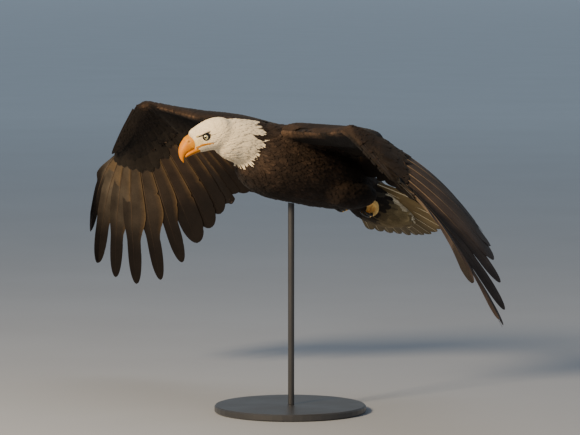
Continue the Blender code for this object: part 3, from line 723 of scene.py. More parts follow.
class Surface:
    """A wing's back or underside as a map: feather place v, distance r back from the leading edge."""

    STEP_V, STEP_R, REACH = 0.25, 0.004, 0.34
    CHORD = np.linspace(0, 1, 26) ** 1.5

    def __init__(self, wing, top):
        self.wing, self.top = wing, top
        self.vs = np.arange(-0.5, LAST + 0.01, self.STEP_V)
        rs = np.arange(0, self.REACH, self.STEP_R)
        self.points = np.empty((len(self.vs), len(rs), 3))
        self.base_r = np.empty(len(self.vs))
        face = 1.15 if top else -0.85
        for i, v in enumerate(self.vs):
            v = float(v)
            middle, end = wing.centre(v, wing.covert(v) * 0.5), wing.centre(v, wing.covert(v))
            keys = ((0.0, *wing.lead(v)), (BONE_AT, *wing.base(v)), (0.72, *middle), (1.0, *end))
            normal, thick, line = wing.normal(v), wing.thickness(v), []
            for q in self.CHORD:
                swell = 2.97 * math.sqrt(q) - 1.26 * q - 3.52 * q ** 2 + 2.84 * q ** 3 - 1.01 * q ** 4
                half = 0.5 * thick * swell + 0.0010 * q
                line.append(Vector(spline(keys, q)) + normal * half * face)
            for extra in np.arange(0.008, 0.13, 0.008):
                s = wing.covert(v) + float(extra)
                if s < wing.length(v) * 0.97:
                    line.append(wing.centre(v, s) + normal * face * 0.0018)
            line = np.array(line)
            walked = walk(line)
            for axis in range(3):
                self.points[i, :, axis] = np.interp(rs, walked, line[:, axis])
            past = rs > walked[-1]
            self.points[i, past] = line[-1] + (rs[past] - walked[-1])[:, None] * np.array(wing.direction(v))
            self.base_r[i] = np.interp(BONE_AT, self.CHORD, walked[:len(self.CHORD)])
        self.points = wing.mirrored(self.points)
        across, along = np.gradient(self.points, axis=0), np.gradient(self.points, axis=1)
        normals = unit(np.cross(across, along))
        self.normals = normals * np.sign(dot(normals, wing.normals(self.vs, top)[:, None]))

    def sample(self, grid, v, r):
        a = np.clip((v + 0.5) / self.STEP_V, 0, grid.shape[0] - 1.001)
        b = np.clip(r / self.STEP_R, 0, grid.shape[1] - 1.001)
        i, j = a.astype(int), b.astype(int)
        a, b = (a - i)[..., None], (b - j)[..., None]
        return (grid[i, j] * (1 - a) * (1 - b) + grid[i + 1, j] * a * (1 - b)
                + grid[i, j + 1] * (1 - a) * b + grid[i + 1, j + 1] * a * b)


# tip distance from the base line, length, half width, spacing; sizes at the arm's full chord
COVERT_ROWS = (
    (0.152, 0.095, 0.0135, 0.0150),
    (0.114, 0.062, 0.0115, 0.0130),
    (0.092, 0.044, 0.0095, 0.0105),
    (0.077, 0.036, 0.0082, 0.0090),
    (0.064, 0.031, 0.0074, 0.0080),
    (0.052, 0.028, 0.0068, 0.0074),
    (0.041, 0.026, 0.0064, 0.0070),
    (0.031, 0.024, 0.0060, 0.0066),
    (0.021, 0.022, 0.0057, 0.0062),
    (0.012, 0.021, 0.0054, 0.0059),
    (0.004, 0.020, 0.0052, 0.0056),
)
SMALL_ROWS = tuple((0.004 - 0.0070 * k, 0.0185 - 0.0003 * k, 0.0050 - 0.0001 * k, 0.0054 - 0.0001 * k)
                   for k in range(1, 19))
# how far the greater under coverts reach, at feather places
UNDER_REACH = (
    (0.0, 1.0, 2.0, 3.0, 4.0, 5.0, 6.0, 7.0, 8.0, 9.0, 11.0, 16.0, 26.0),
    (0.080, 0.100, 0.122, 0.135, 0.146, 0.154, 0.148, 0.141, 0.136, 0.133, 0.134, 0.148, 0.150),
)


def covert_tints(top, row, v, roots, front):
    """Base colour and how much paler the fringe is."""
    own = rng.uniform(0.86, 1.14, len(roots))[:, None]
    patches = mottle(roots, 0.06, 3)
    fine = mottle(roots, 0.012, 4)
    if top:
        hand = (0.55 + 0.45 * smooth((v - 6) / 5))[:, None]
        warm = (0.06 + 0.16 * patches + 0.12 * fine).clip(0, 1)[:, None]
        colour = mix(BROWN * 0.50, RUFOUS * 0.6, warm) * own * hand
        if row < 2:
            colour = mix(colour, DARK * 1.6, 0.35)
        # painted highlight: the upper coverts along the leading edge are a little paler and warmer, for the
        # sunlit edge
        colour = mix(colour, RUFOUS * 1.8, (0.10 * smooth(front * 2.0 - 1.0))[:, None])
        return colour, 1.18 if row < 2 else 1.30
    if row < 2:
        return mix(DARK, GREY * 0.75, 0.28 if row == 0 else 0.12) * own, 1.15
    speckle = front * (0.45 + 0.40 * patches + 0.45 * fine).clip(0, 1) * smooth((v - 7.5) / 2.0)
    return mix(DARK * own, RUFOUS * 1.1, speckle[:, None]), 1.2


def wing_coverts(wing, top, inside, covered):
    """Rows of coverts, from the greater ones on the flight feathers forward to the leading edge."""
    surface = Surface(wing, top)
    coat = Coat(f"wing_coverts_{wing.side}_{'upper' if top else 'under'}")
    columns = np.arange(surface.points.shape[1])
    flesh = np.array([wing.covert(float(v)) for v in surface.vs]) / WHOLE_COVERT
    reach = np.interp(surface.vs, *UNDER_REACH) / COVERT_ROWS[0][0]
    for row, (tip, length, half_width, spacing) in enumerate(COVERT_ROWS + SMALL_ROWS):
        form = ROUND if row < 3 else SCALE
        scale = flesh if top else mix(reach, flesh, min(1.0, row / 5))
        end_r = surface.base_r + tip * scale
        line = np.clip((np.maximum(end_r, 0) / surface.STEP_R).round().astype(int), 0, columns[-1])
        spots = surface.points[np.arange(len(surface.vs)), line]
        walked = walk(spots)
        count = max(8, int(walked[-1] / spacing))
        steps = np.arange(count) + 0.5 * (row % 2) + rng.uniform(-0.22, 0.22, count)
        v = np.interp(steps / count * walked[-1], walked, surface.vs)
        size = np.interp(v, surface.vs, scale) * rng.uniform(0.90, 1.10, count)
        end = np.interp(v, surface.vs, end_r) + rng.uniform(-0.10, 0.10, count) * length
        keep = (end > length * size * 0.35) & (v > (0.0 if row < 3 else 0.8))
        v, size, end = v[keep], size[keep], end[keep]
        count, t = len(v), form[0]
        r = np.maximum(end - length * size, 0.0010)[:, None] * (1 - t) + end[:, None] * t
        drift = rng.normal(0, 0.10, count)[:, None] * t
        path = surface.sample(surface.points, v[:, None] + drift, r)
        normal = unit(surface.sample(surface.normals, v[:, None] + drift, r))
        rise = (0.0026 if row > 2 else 0.0040) * rng.uniform(0.75, 1.2, count)
        path = path + normal * (-0.0026 + rise[:, None] * t ** 0.8)[..., None]
        facing = dot(normal, wing.normals(v, top)[:, None])[..., 0].min(axis=1)
        span = np.linalg.norm(path[:, -1] - path[:, 0], axis=1) / np.abs(r[:, -1] - r[:, 0])
        folded = (v < 6) & ((facing < 0.40) | (span < 0.85) | (span > 1.25))
        ok = ~inside(path[:, 3]) & ~folded
        path, normal, v, r, size = path[ok], normal[ok], v[ok], r[ok], size[ok]
        aims = wing.mirrored([wing.direction(float(a)) for a in v])
        covered.append(np.concatenate([path[:, 1], unit(path[:, 3] - path[:, 0]), aims], axis=1))
        front = smooth((0.024 - r[:, 0]) / 0.016)
        colour, fringe = covert_tints(top, row, v, path[:, 0], front)

        def tints(side, share, colour=colour, fringe=fringe):
            pale = 1 + (fringe - 1) * np.clip(np.abs(side) * 0.4 + smooth((share - 0.65) / 0.35), 0, 1)
            deep = 0.80 + 0.20 * smooth(share / 0.4)
            return colour[:, None] * (pale * deep)[None, :, None]

        places = np.stack([0.02 + 0.96 * (v + 0.5) / (LAST + 1), 0.02 + 0.96 * r[:, 0] / surface.REACH], -1)
        widths = half_width * size * rng.uniform(0.9, 1.15, len(v))
        coat.plumes(path, normal, widths, form, tints, places, drop=0.20 if row > 2 else 0.05)
    return coat


# ---- tail ----
def tail_point(across, along):
    """A point of the fan: across -1 to 1 leftwards, along in metres from the root."""
    angle, roll, droop = (math.radians(a) for a in (TAIL_SPREAD * across, TAIL_ROLL, TAIL_DROOP))
    out = math.sin(angle) * along + 0.018 * across
    aft = math.cos(angle) * along
    arch = -0.010 * (across * along / TAIL_LENGTH) ** 2
    arch += TAIL_LIFT * max(0.0, across) ** 2 * math.sqrt(along / TAIL_LENGTH)
    spot = Vector((out, aft, arch + math.tan(roll) * out))
    return np.array(TAIL_ROOT + Matrix.Rotation(-droop, 3, "X") @ spot)


def tail_feathers():
    """Twelve overlapping blades, the middle pair on top."""
    coat, rows = Coat("tail_feathers"), 44
    for j in range(TAIL_FEATHERS):
        middle = -1 + (2 * j + 1) / TAIL_FEATHERS
        outward = math.copysign(1.0, middle)
        length = TAIL_LENGTH * (1 - 0.07 * middle * middle) * rng.uniform(0.992, 1.004)
        top, shares = np.empty((rows, len(ACROSS), 3)), np.empty(rows)
        for r in range(rows):
            along = 0.06 + (length - 0.06) * (1 - (1 - r / (rows - 1)) ** 1.3)
            share = shares[r] = along / length
            tip = max(blunt_end(share, 0.93, 2.2), 0.02)
            for k, across in enumerate(ACROSS):
                full, least, taper = (1.25, 0.030, 0.052) if across < 0 else (2.5, 0.046, 0.085)
                reach = full / TAIL_FEATHERS * across * -outward * (least / max(least, taper * share)) * tip
                top[r, k] = tail_point(max(-1.04, min(1.04, middle + reach)), along)
        along_v, across_v = np.gradient(top, axis=0), np.gradient(top, axis=1)
        normal = np.cross(across_v, along_v).sum((0, 1))
        normal = unit(normal) * (1 if normal[2] > 0 else -1)
        lateral = np.linalg.norm(top - top[:, SHAFT:SHAFT + 1], axis=-1) * np.sign(-ACROSS)
        top = top + normal * (lateral * 0.045 + 0.0011 * (1 - abs(middle)))[..., None]
        share = shares[:, None]
        edge = smooth((np.abs(ACROSS) - 0.7) / 0.3)[None, :, None]
        streaks = mottle(top, 0.04, 70 + j)[..., None]
        base = TAIL_WHITE * rng.uniform(0.9, 1.06) * (1 + 0.06 * streaks)
        stain = smooth((0.55 - share) / 0.35)[..., None] * 0.45
        colour = mix(base, RUFOUS * 1.8, stain) * (1 - 0.16 * edge)
        colour = mix(colour, GREY * 2.2, (0.35 * smooth((share - 0.95) / 0.05))[..., None])
        strip = pairs((j + 0.5 + 0.44 * ACROSS[None, :]) / TAIL_FEATHERS, 0.02 + 0.96 * share)
        # each feather's underside is its back's colour times a painted shade
        coat.blade(top, normal, share, (colour, colour * TAIL_UNDERSIDE_PAINTED_SHADE), strip)
        shaft, radii = top[:-1, SHAFT] - normal * 0.0003, 0.0017 * (1 - 0.78 * shares[:-1])
        coat.tube(shaft, radii, 6, TAIL_WHITE * 0.85, strip[rows // 2, SHAFT], normal)
    return coat


# ---- skin ----
BODY_FLESH = ("trunk", "neck", "head", "tail_coverts", "thigh_left", "thigh_right")
WING_FLESH = ("wing_arm_left", "wing_arm_right", "wing_hand_left", "wing_hand_right")


def tree_of(names):
    bm = bmesh.new()
    for name in names:
        bm.from_mesh(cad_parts[name].data)
    bmesh.ops.transform(bm, matrix=FROM_BIRD, verts=bm.verts)
    bmesh.ops.triangulate(bm, faces=bm.faces)
    tree = BVHTree.FromBMesh(bm)
    bm.free()
    return tree


def nearest(tree, points):
    """Foot points, normals and distances of the nearest places on the tree."""
    found = [tree.find_nearest(Vector(p)) for p in points]
    return tuple(np.array([place[k] for place in found]) for k in (0, 1, 3))


def coat_depth(points):
    """How deep the coat is at points of the bird's frame."""
    head = in_head(points)
    depth = np.full(len(points), 0.0052)
    depth = mix(depth, 0.0036, smooth((np.abs(points[:, 0]) - 0.10) / 0.03))
    near_head = smooth((0.075 - head[:, 1]) / 0.05) * smooth((0.09 - np.linalg.norm(head, axis=1)) / 0.02)
    depth = mix(depth, 0.0030, near_head)
    return mix(depth, 0.0012, near_head * smooth((-0.008 - head[:, 1]) / 0.02))


def make_skin():
    """The flesh fused to one surface and drawn in by the coat's depth, less where the flesh is thin."""
    bm = bmesh.new()
    for name in BODY_FLESH + WING_FLESH:
        part = bmesh.new()
        part.from_mesh(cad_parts[name].data)
        bmesh.ops.remove_doubles(part, verts=part.verts, dist=1e-6)
        part.normal_update()
        for vert in part.verts:
            vert.co += vert.normal * SKIN_MARGIN
        mesh = bpy.data.meshes.new("part")
        part.to_mesh(mesh)
        part.free()
        bm.from_mesh(mesh)
        bpy.data.meshes.remove(mesh)
    bmesh.ops.transform(bm, matrix=FROM_BIRD, verts=bm.verts)
    mesh = bpy.data.meshes.new("skin")
    bm.to_mesh(mesh)
    bm.free()
    obj = new_object("skin", mesh)
    remesh = obj.modifiers.new("remesh", "REMESH")
    remesh.mode = "VOXEL"
    remesh.voxel_size = SKIN_VOXEL
    relax = obj.modifiers.new("relax", "SMOOTH")
    relax.factor = 0.5
    relax.iterations = 6
    bpy.context.view_layer.update()
    made = bpy.data.meshes.new_from_object(obj.evaluated_get(bpy.context.evaluated_depsgraph_get()))
    bpy.data.objects.remove(obj)
    bm = bmesh.new()
    bm.from_mesh(made)
    bmesh.ops.triangulate(bm, faces=bm.faces)
    bm.normal_update()
    bm.verts.ensure_lookup_table()
    tree = BVHTree.FromBMesh(bm)
    depth = coat_depth(np.array([vert.co for vert in bm.verts])) + SKIN_MARGIN
    for i, vert in enumerate(bm.verts):
        hit = tree.ray_cast(vert.co - vert.normal * 1e-4, -vert.normal, 0.03)
        if hit[3] is not None:
            depth[i] = min(depth[i], 0.36 * hit[3])
    for i, vert in enumerate(bm.verts):
        vert.co -= vert.normal * depth[i]
    bm.to_mesh(made)
    bm.free()
    return made


def body_tint(points):
    """The coat's colour over the body, in the bird's frame, brown with white head, neck and tail coverts."""
    y, z = points[:, 1], points[:, 2]
    wave, fine = mottle(points, 0.045, 5), mottle(points, 0.012, 6)
    brown = mix(BROWN * 0.8, RUFOUS, (0.14 + 0.18 * wave + 0.20 * fine)[:, None].clip(0, 1))
    # painted shade: the brown darkens towards the back of the body and on its underside
    painted_shade = np.maximum(smooth((y - 0.03) / 0.16), smooth((-0.055 - z) / 0.05) * 0.7)
    brown = mix(brown, DARK, (0.80 * painted_shade)[:, None])
    white = mix(WHITE, CREAM, (0.30 + 0.5 * smooth((y + 0.15) / 0.08) + 0.10 * wave)[:, None].clip(0, 1))
    head = in_head(points)
    lore = smooth((-0.013 - head[:, 1]) / 0.012) * smooth((0.012 - np.abs(head[:, 2] + 0.002)) / 0.010)
    white = mix(white, LORE, (0.60 * lore)[:, None])
    white = mix(white, DARK * 2.5, smooth((1.10 - eye_span(head)) / 0.08)[:, None])
    tint = np.where((y < white_edge(points))[:, None], white, brown)
    from_root = turned(points - np.array(TAIL_ROOT), Matrix.Rotation(math.radians(TAIL_DROOP), 3, "X"))
    above_fan = from_root[:, 2] - math.tan(math.radians(TAIL_ROLL)) * from_root[:, 0]
    # painted shade: below the plane of the tail fan the white coverts are tinted dark, as the fan's underside
    # is
    under = smooth((above_fan + 0.012) / 0.014)[:, None]
    pale = TAIL_WHITE * mix(np.array((0.26, 0.22, 0.15)), np.ones(3), under)
    vent = mix(DARK * 1.5, pale, smooth((y - 0.258 - 0.010 * fine) / 0.055)[:, None])
    return mix(tint, vent, smooth((y - 0.235) / 0.02)[:, None])


def eye_span(head):
    """How far points of the head's frame are from the eye, where 1 is the edge of its bare skin."""
    return np.hypot((head[:, 1] + 0.004) / 0.0094, head[:, 2] / 0.0074) + 3 * (np.abs(head[:, 0]) < 0.012)


def white_edge(points):
    """How far aft the white hackles are rooted; a notch on either side parts the nape's from the cheek's."""
    around = np.arctan2(np.abs(points[:, 0] + 0.001), points[:, 2] + 0.0235)
    notch = np.exp(-((around - 1.30) / 0.15) ** 2)
    return -0.103 + 0.010 * mottle(points, 0.022, 9) - 0.030 * notch


MOUTH = (
    (-0.046, -0.034, -0.022, -0.010, 0.0, 0.004),
    (-0.0116, -0.0112, -0.0114, -0.0142, -0.0185, -0.0200),
)


def mouth(y):
    """Height of the mouth's line in the head's frame."""
    return np.interp(y, *MOUTH)


def lie(points, normals):
    """The lie of the coat: aft along the body, from bill to nape on the head, down and aft on the legs."""
    x, y, z = points.T
    head = in_head(points)
    over = smooth((0.085 - head[:, 1]) / 0.06)[:, None]
    back = turned(np.array((0.0, 1.0, -0.10)), HEAD_IN_BIRD)
    flow = mix(np.array((0.0, 1.0, 0.0)), back, over * (y < -0.03)[:, None])
    leg = smooth((0.034 - np.hypot(np.abs(x) - 0.060, (z + 0.052) * 0.8)) / 0.02)
    leg = leg * smooth((y - 0.09) / 0.05) * (z < -0.02) * (y < 0.275)
    flow = mix(flow, np.array((0.0, 0.94, -0.25)), leg[:, None])
    spread = np.zeros_like(points)
    spread[:, 0] = np.sign(x) * 0.45 * smooth((z - 0.01) / 0.03) * smooth((0.10 - np.abs(y - 0.02)) / 0.08)
    flow = flow + spread
    return unit(flow - normals * dot(flow, normals))


def thinned(points, spacing):
    """Which random points to keep so that none is nearer to another than its spacing."""
    cell = float(spacing.max())
    grid, kept = {}, []
    for i, (p, gap) in enumerate(zip(points, spacing)):
        key = tuple((p // cell).astype(int))
        near = [j for a in (-1, 0, 1) for b in (-1, 0, 1) for c in (-1, 0, 1)
                for j in grid.get((key[0] + a, key[1] + b, key[2] + c), ())]
        if all(((points[j] - p) ** 2).sum() > gap * gap for j in near):
            grid.setdefault(key, []).append(i)
            kept.append(i)
    return np.array(kept)


def feather_sizes(points):
    """Length, half width, spacing and rise over the body."""
    head = in_head(points)
    y = points[:, 1]
    aft = smooth((y - 0.02) / 0.12)
    on_head = smooth((0.060 - head[:, 1]) / 0.045) * (y < -0.10)
    face = smooth((0.010 - head[:, 1]) / 0.035) * on_head
    hackle = smooth((y + 0.180) / 0.05) * (y < -0.070) * (1 - face)
    vent = smooth((y - 0.235) / 0.03)
    sizes = np.broadcast_to((0.0220, 0.0050, 0.0049, 0.0034), (len(y), 4))
    for share, kind in (
        (aft, (0.0290, 0.0066, 0.0062, 0.0036)),
        (on_head, (0.0120, 0.0021, 0.0023, 0.0017)),
        (hackle, (0.0340, 0.0036, 0.0041, 0.0040)),
        (face, (0.0060, 0.0014, 0.0016, 0.0009)),
        (vent, (0.0500, 0.0090, 0.0088, 0.0036)),
    ):
        sizes = mix(sizes, np.array(kind), share[:, None])
    return sizes.T


def body_coat(skin, skin_tree, flesh_tree, wing_tree, covered):
    """Feathers over all of the skin that the coverts leave, each laid on the surface along the lie."""
    centres, normals = read(skin.polygons, "center", 3), read(skin.polygons, "normal", 3)
    areas = read(skin.polygons, "area", 1)[:, 0]
    corners, spots = read(skin.polygons, "vertices", 3, np.int32), read(skin.vertices, "co", 3)
    coverts = KDTree(len(covered))
    for i, point in enumerate(covered[:, :3]):
        coverts.insert(point, i)
    coverts.balance()
    near_flesh, near_wing = nearest(flesh_tree, centres)[2], nearest(wing_tree, centres)[2]
    found = [coverts.find(Vector(c)) for c in centres]
    bare = np.array([f[2] for f in found]) > BARE_FROM
    beside_it = covered[[f[1] for f in found]]
    back, down = dot(normals, beside_it[:, 6:])[:, 0], dot(normals, beside_it[:, 3:6])[:, 0]
    more_wing = near_wing < near_flesh - WING_FIRST
    trailing = (back > 0.30) | ((down > 0.40) & (back > 0.05))
    shoulder = (np.abs(centres[:, 0]) < 0.20) & (centres[:, 2] > 0.60) & (normals[:, 2] > 0.3)
    cap = (centres[:, 1] > 0.33) & (normals[:, 1] > 0.55)
    cap |= more_wing & trailing
    which = np.flatnonzero(((near_flesh < near_wing + FLESH_FIRST) | bare | shoulder) & ~cap)
    share = areas[which] / feather_sizes(centres[which])[2] ** 2
    picked = rng.choice(which, FEATHER_TRIES, p=share / share.sum())
    roots = (spots[corners[picked]] * rng.dirichlet((1, 1, 1), len(picked))[..., None]).sum(1)
    gap = feather_sizes(roots)[2]
    head = in_head(roots)
    bare_skin = (eye_span(head) < 1.05) | (head[:, 1] < -0.0315)
    bare_skin |= (head[:, 1] < 0.003) & (np.abs(head[:, 2] - mouth(head[:, 1])) < 0.0028)
    kept = []
    for low, high in ((0, 0.0034), (0.0034, 0.0052), (0.0052, 1)):
        group = np.flatnonzero(~bare_skin & (gap >= low) & (gap < high))
        kept.append(group[thinned(roots[group], gap[group])])
    kept = np.concatenate(kept)
    roots, normal = roots[kept], normals[picked][kept]
    length, half, gap, rise = feather_sizes(roots) * rng.uniform(0.85, 1.15, (4, len(kept)))
    on_wing = more_wing[picked][kept]
    wing_lie = np.array([covered[coverts.find(Vector(root))[1], 3:6] for root in roots])
    stations = ROUND[0]
    n, k = len(kept), len(stations)
    paths, ups = np.empty((n, k, 3)), np.empty((n, k, 3))
    spot, up = roots.copy(), normal.copy()
    stray = rng.normal(0, 0.10, n)
    for step, share in enumerate(stations):
        foot, found, _ = nearest(skin_tree, spot)
        up = unit(mix(up, found, 0.6 if step else 1.0))
        ups[:, step] = up
        paths[:, step] = foot + up * (0.0002 + rise * share ** 0.85)[:, None]
        flow = np.where(on_wing[:, None], unit(wing_lie - up * dot(wing_lie, up)), lie(foot, up))
        flow = unit(flow + np.cross(up, flow) * stray[:, None])
        spot = foot + flow * (length * (stations[min(step + 1, k - 1)] - share))[:, None]
    return roots, paths, ups, half


def unwrapped(points, rise, ahead, length):
    """An unwrap of a long body: round its axis, and along it."""
    around = np.arctan2(points[:, 0], points[:, 2] + rise) / (2 * math.pi) + 0.5
    along = (points[:, 1] + ahead) / length
    return np.stack([0.01 + 0.98 * around, 0.01 + 0.98 * np.clip(along, 0, 1)], -1)


def body_places(points):
    return unwrapped(points, 0.03, 0.26, 0.70)


def add_body_coats(skin, skin_tree, feather, white_feather, covered):
    trees = tree_of(BODY_FLESH), tree_of(WING_FLESH)
    roots, paths, ups, half = body_coat(skin, skin_tree, *trees, covered)
    under_wing = (np.abs(roots[:, 0]) > 0.20) & (ups[:, 0, 2] < 0.2)
    colour = np.where(under_wing[:, None], DARK * 1.1, body_tint(roots))
    own = rng.uniform(0.86, 1.16, len(roots))
    white = roots[:, 1] < white_edge(roots)
    ahead = in_head(roots)[:, 1] < 0.035
    below = roots[:, 2] < -0.035
    groups = {
        "head_feathers": white & ahead,
        "hackles": white & ~ahead,
        "breast_feathers": ~white & (roots[:, 1] < 0.06),
        "belly_feathers": ~white & (roots[:, 1] >= 0.06) & below,
        "back_feathers": ~white & (roots[:, 1] >= 0.06) & ~below,
    }
    for name, which in groups.items():
        coat, pale_part = Coat(name), name in ("head_feathers", "hackles")
        tone = colour[which] * (1 + (own[which] - 1) * (0.30 if pale_part else 1))[:, None]
        sparkle = rng.random(which.sum()) < 0.16

        def tints(side, share, tone=tone, pale_part=pale_part, sparkle=sparkle):
            if pale_part:
                return tone[:, None] * (0.84 + 0.16 * smooth(share / 0.5))[None, :, None]
            edge = np.clip(np.abs(side) * 0.30 + smooth((share - 0.70) / 0.30), 0, 1)
            pale = 1 + edge[None, :] * (0.12 + 0.75 * sparkle[:, None])
            return tone[:, None] * (pale * (0.70 + 0.30 * smooth(share / 0.5))[None, :])[..., None]

        if pale_part:
            places, form = unwrapped(in_head(roots[which]), 0.0, 0.06, 0.20), LANCE
            material, slot = white_feather, "head_feather"
        else:
            places, form = body_places(roots[which]), ROUND
            material, slot = feather, "body_feather"
        coat.plumes(paths[which], ups[which], half[which], form, tints, places, ridge=0.12)
        coat.build(material, slot, BIRD)


# ---- head ----
BILL_STATIONS = (  # forward, up, fall of the axis in degrees, half depth, half width
    (0.0270, 0.0055, 0.0, 0.0170, 0.0155),
    (0.0370, 0.0058, 5.0, 0.0167, 0.0150),
    (0.0460, 0.0040, 14.0, 0.0155, 0.0135),
    (0.0550, 0.0000, 28.0, 0.0130, 0.0112),
    (0.0620, -0.0050, 46.0, 0.0098, 0.0086),
    (0.0672, -0.0115, 64.0, 0.0066, 0.0058),
    (0.0700, -0.0182, 80.0, 0.0040, 0.0036),
    (0.0706, -0.0235, 90.0, 0.0020, 0.0020),
    (0.0706, -0.0268, 92.0, 0.0007, 0.0007),
)
LOWER_BILL = (  # y, top, bottom, half width
    (-0.0625, -0.0148, -0.0190, 0.0020),
    (-0.0570, -0.0116, -0.0200, 0.0060),
    (-0.0450, -0.0100, -0.0207, 0.0092),
    (-0.0250, -0.0100, -0.0225, 0.0120),
)


def make_bill(horn):
    """Upper bill with cere, nostrils, cutting edge and hook; the lower bill lies under it."""
    coat, steps, sides = Coat("bill_above"), 46, 36
    keys = [(k, *station) for k, station in enumerate(BILL_STATIONS)]
    rings, tints = np.empty((steps, sides, 3)), np.empty((steps, sides, 3))
    for i in range(steps):
        t = (len(keys) - 1) * (i / (steps - 1))
        forward, rise, fall, depth, width = spline(keys, t)
        fall = math.radians(fall)
        for j in range(sides):
            angle = 2 * math.pi * j / sides
            c, s = math.cos(angle), math.sin(angle)
            pinch = 1 - 0.30 * max(0.0, s) ** 1.5
            x = width * math.copysign(abs(c) ** (0.85 if s > 0 else 0.60), c) * pinch
            h = depth * math.copysign(abs(s) ** 0.95, s)
            h -= 0.0011 * math.exp(-((forward - 0.052) / 0.006) ** 2) * max(0.0, -s) ** 4
            step = 1 + 0.045 * float(smooth((0.0440 + 0.002 * s - forward) / 0.003))
            off = h * step
            spot = np.array((x * step, -forward - off * math.sin(fall), rise + off * math.cos(fall)))
            hole = np.hypot((spot[1] + 0.0415) / 0.0034, (spot[2] - 0.0082) / 0.0019)
            spot[0] -= math.copysign(0.0022, x) * math.exp(-hole ** 2) if abs(x) > 0.004 else 0
            rings[i, j] = spot
            tone = mix(YELLOW, CERE, float(smooth((0.0465 - forward) / 0.004)))
            tone = mix(tone, YELLOW * 0.80, float(smooth((forward - 0.062) / 0.012)))
            # painted shade: the nostrils are tinted near black for their openings, which are only shallow
            # dents
            tone = tone * (1 - 0.88 * math.exp(-(hole / 0.85) ** 4))
            tints[i, j] = tone * (1 - 0.45 * float(smooth((-s - 0.90) / 0.08)))
    coat.loft(rings, tints)
    coat.build(horn, "bill", HEAD, ("bill_upper",))
    coat, steps, sides = Coat("bill_below"), 26, 24
    rings, tints = np.empty((steps, sides, 3)), np.empty((steps, sides, 3))
    for i in range(steps):
        y = LOWER_BILL[0][0] + (LOWER_BILL[-1][0] - LOWER_BILL[0][0]) * (i / (steps - 1)) ** 1.2
        high, low, width = spline(LOWER_BILL, y)
        for j in range(sides):
            angle = 2 * math.pi * j / sides
            c, s = math.cos(angle), math.sin(angle)
            x = width * math.copysign(abs(c) ** 0.7, c) * (1 - 0.30 * max(0.0, -s) ** 2)
            rings[i, j] = (x, y, (high + low) / 2 + (high - low) / 2 * s)
            tints[i, j] = mix(YELLOW, CERE, float(smooth((y + 0.045) / 0.02))) * (0.94 - 0.10 * max(0.0, s))
    coat.loft(rings, tints)
    coat.build(horn, "bill", HEAD, ("bill_lower",))


def make_face(skin_tree, horn):
    """Brow ridges, lids and the yellow lips of the gape, set on the skin."""
    coat = Coat("brows_lids_and_gape")
    ridge = ((0, 0.0165, -0.0275, 0.0092), (1, 0.0235, -0.0190, 0.0100), (2, 0.0278, -0.0100, 0.0101),
             (3, 0.0293, -0.0010, 0.0096), (4, 0.0290, 0.0070, 0.0082), (5, 0.0275, 0.0140, 0.0058))
    way_in = HEAD_IN_BIRD.to_3x3()
    for sign in (1.0, -1.0):
        up = (sign, 0, 0)
        share = np.linspace(0, 1, 26)
        path = np.array([spline(ridge, t) for t in share * 5]) * (sign, 1, 1)
        swell = np.sin(math.pi * share ** 0.8) ** 0.7
        tone = mix(LORE * 0.9, WHITE * 0.95, smooth((share - 0.10) / 0.25)[:, None])
        coat.tube(path, 0.0004 + 0.0021 * swell, 10, tone, (0.25, 0.25 + 0.1 * sign), up=up, flat=0.8)
        # Under each ridge lies a thin dark tube: partly the dark skin there, partly painted shadow under the
        # brow.
        shade = path - np.array((0.0004 * sign, 0, 0.0024)) * swell[:, None]
        radii = 0.0003 + 0.0011 * swell
        coat.tube(shade[:21], radii[:21], 8, DARK * 2.5, (0.35, 0.25 + 0.1 * sign), up=up)
        lids = ((0.0056, 0.0010, 0.0268, DARK), (0.0074, 0.0014, 0.0258, DARK * 1.8))
        for number, (radius, thick, out, tone) in enumerate(lids):
            angle = np.linspace(0, 2 * math.pi, 41)
            lid = np.stack([np.full(41, out * sign), -0.004 + radius * 1.1 * np.cos(angle),
                            radius * 0.86 * np.sin(angle)], -1)
            coat.tube(lid, np.full(41, thick), 8, tone, (0.6 + 0.1 * number, 0.25 + 0.1 * sign), up=up)
        # the third, thin dark tube along the mouth's line is painted shade in the slit between the lips
        lips = ((0.0011, 0.0013, CERE), (-0.0013, 0.0014, CERE * 0.92), (0.0, 0.0007, DARK))
        for number, (rise, thick, tone) in enumerate(lips):
            ys = np.linspace(-0.034, 0.004, 22)
            path = np.stack([np.full(22, 0.0118 * sign), ys, mouth(ys) + rise * (1 - share[:22] ** 3)], -1)
            for k in np.flatnonzero(ys > -0.030):
                start = HEAD_IN_BIRD @ Vector((0.08 * sign, *path[k, 1:]))
                hit = skin_tree.ray_cast(start, way_in @ Vector((-sign, 0, 0)))[0]
                if hit is not None:
                    path[k, 0] = (TO_HEAD @ hit).x + 0.0002 * sign
            for _ in range(4):
                path[1:-1, 0] = (path[:-2, 0] + path[1:-1, 0] * 2 + path[2:, 0]) / 4
            path[:, 0] += (0.0007 if number == 2 else 0.0002) * sign
            radii = thick * (1 - 0.55 * (ys - ys[0]) ** 3 / 0.038 ** 3)
            coat.tube(path, radii, 8, tone, (0.3 + 0.1 * number, 0.7 + 0.1 * sign), up=up)
    coat.build(horn, "bill", HEAD)


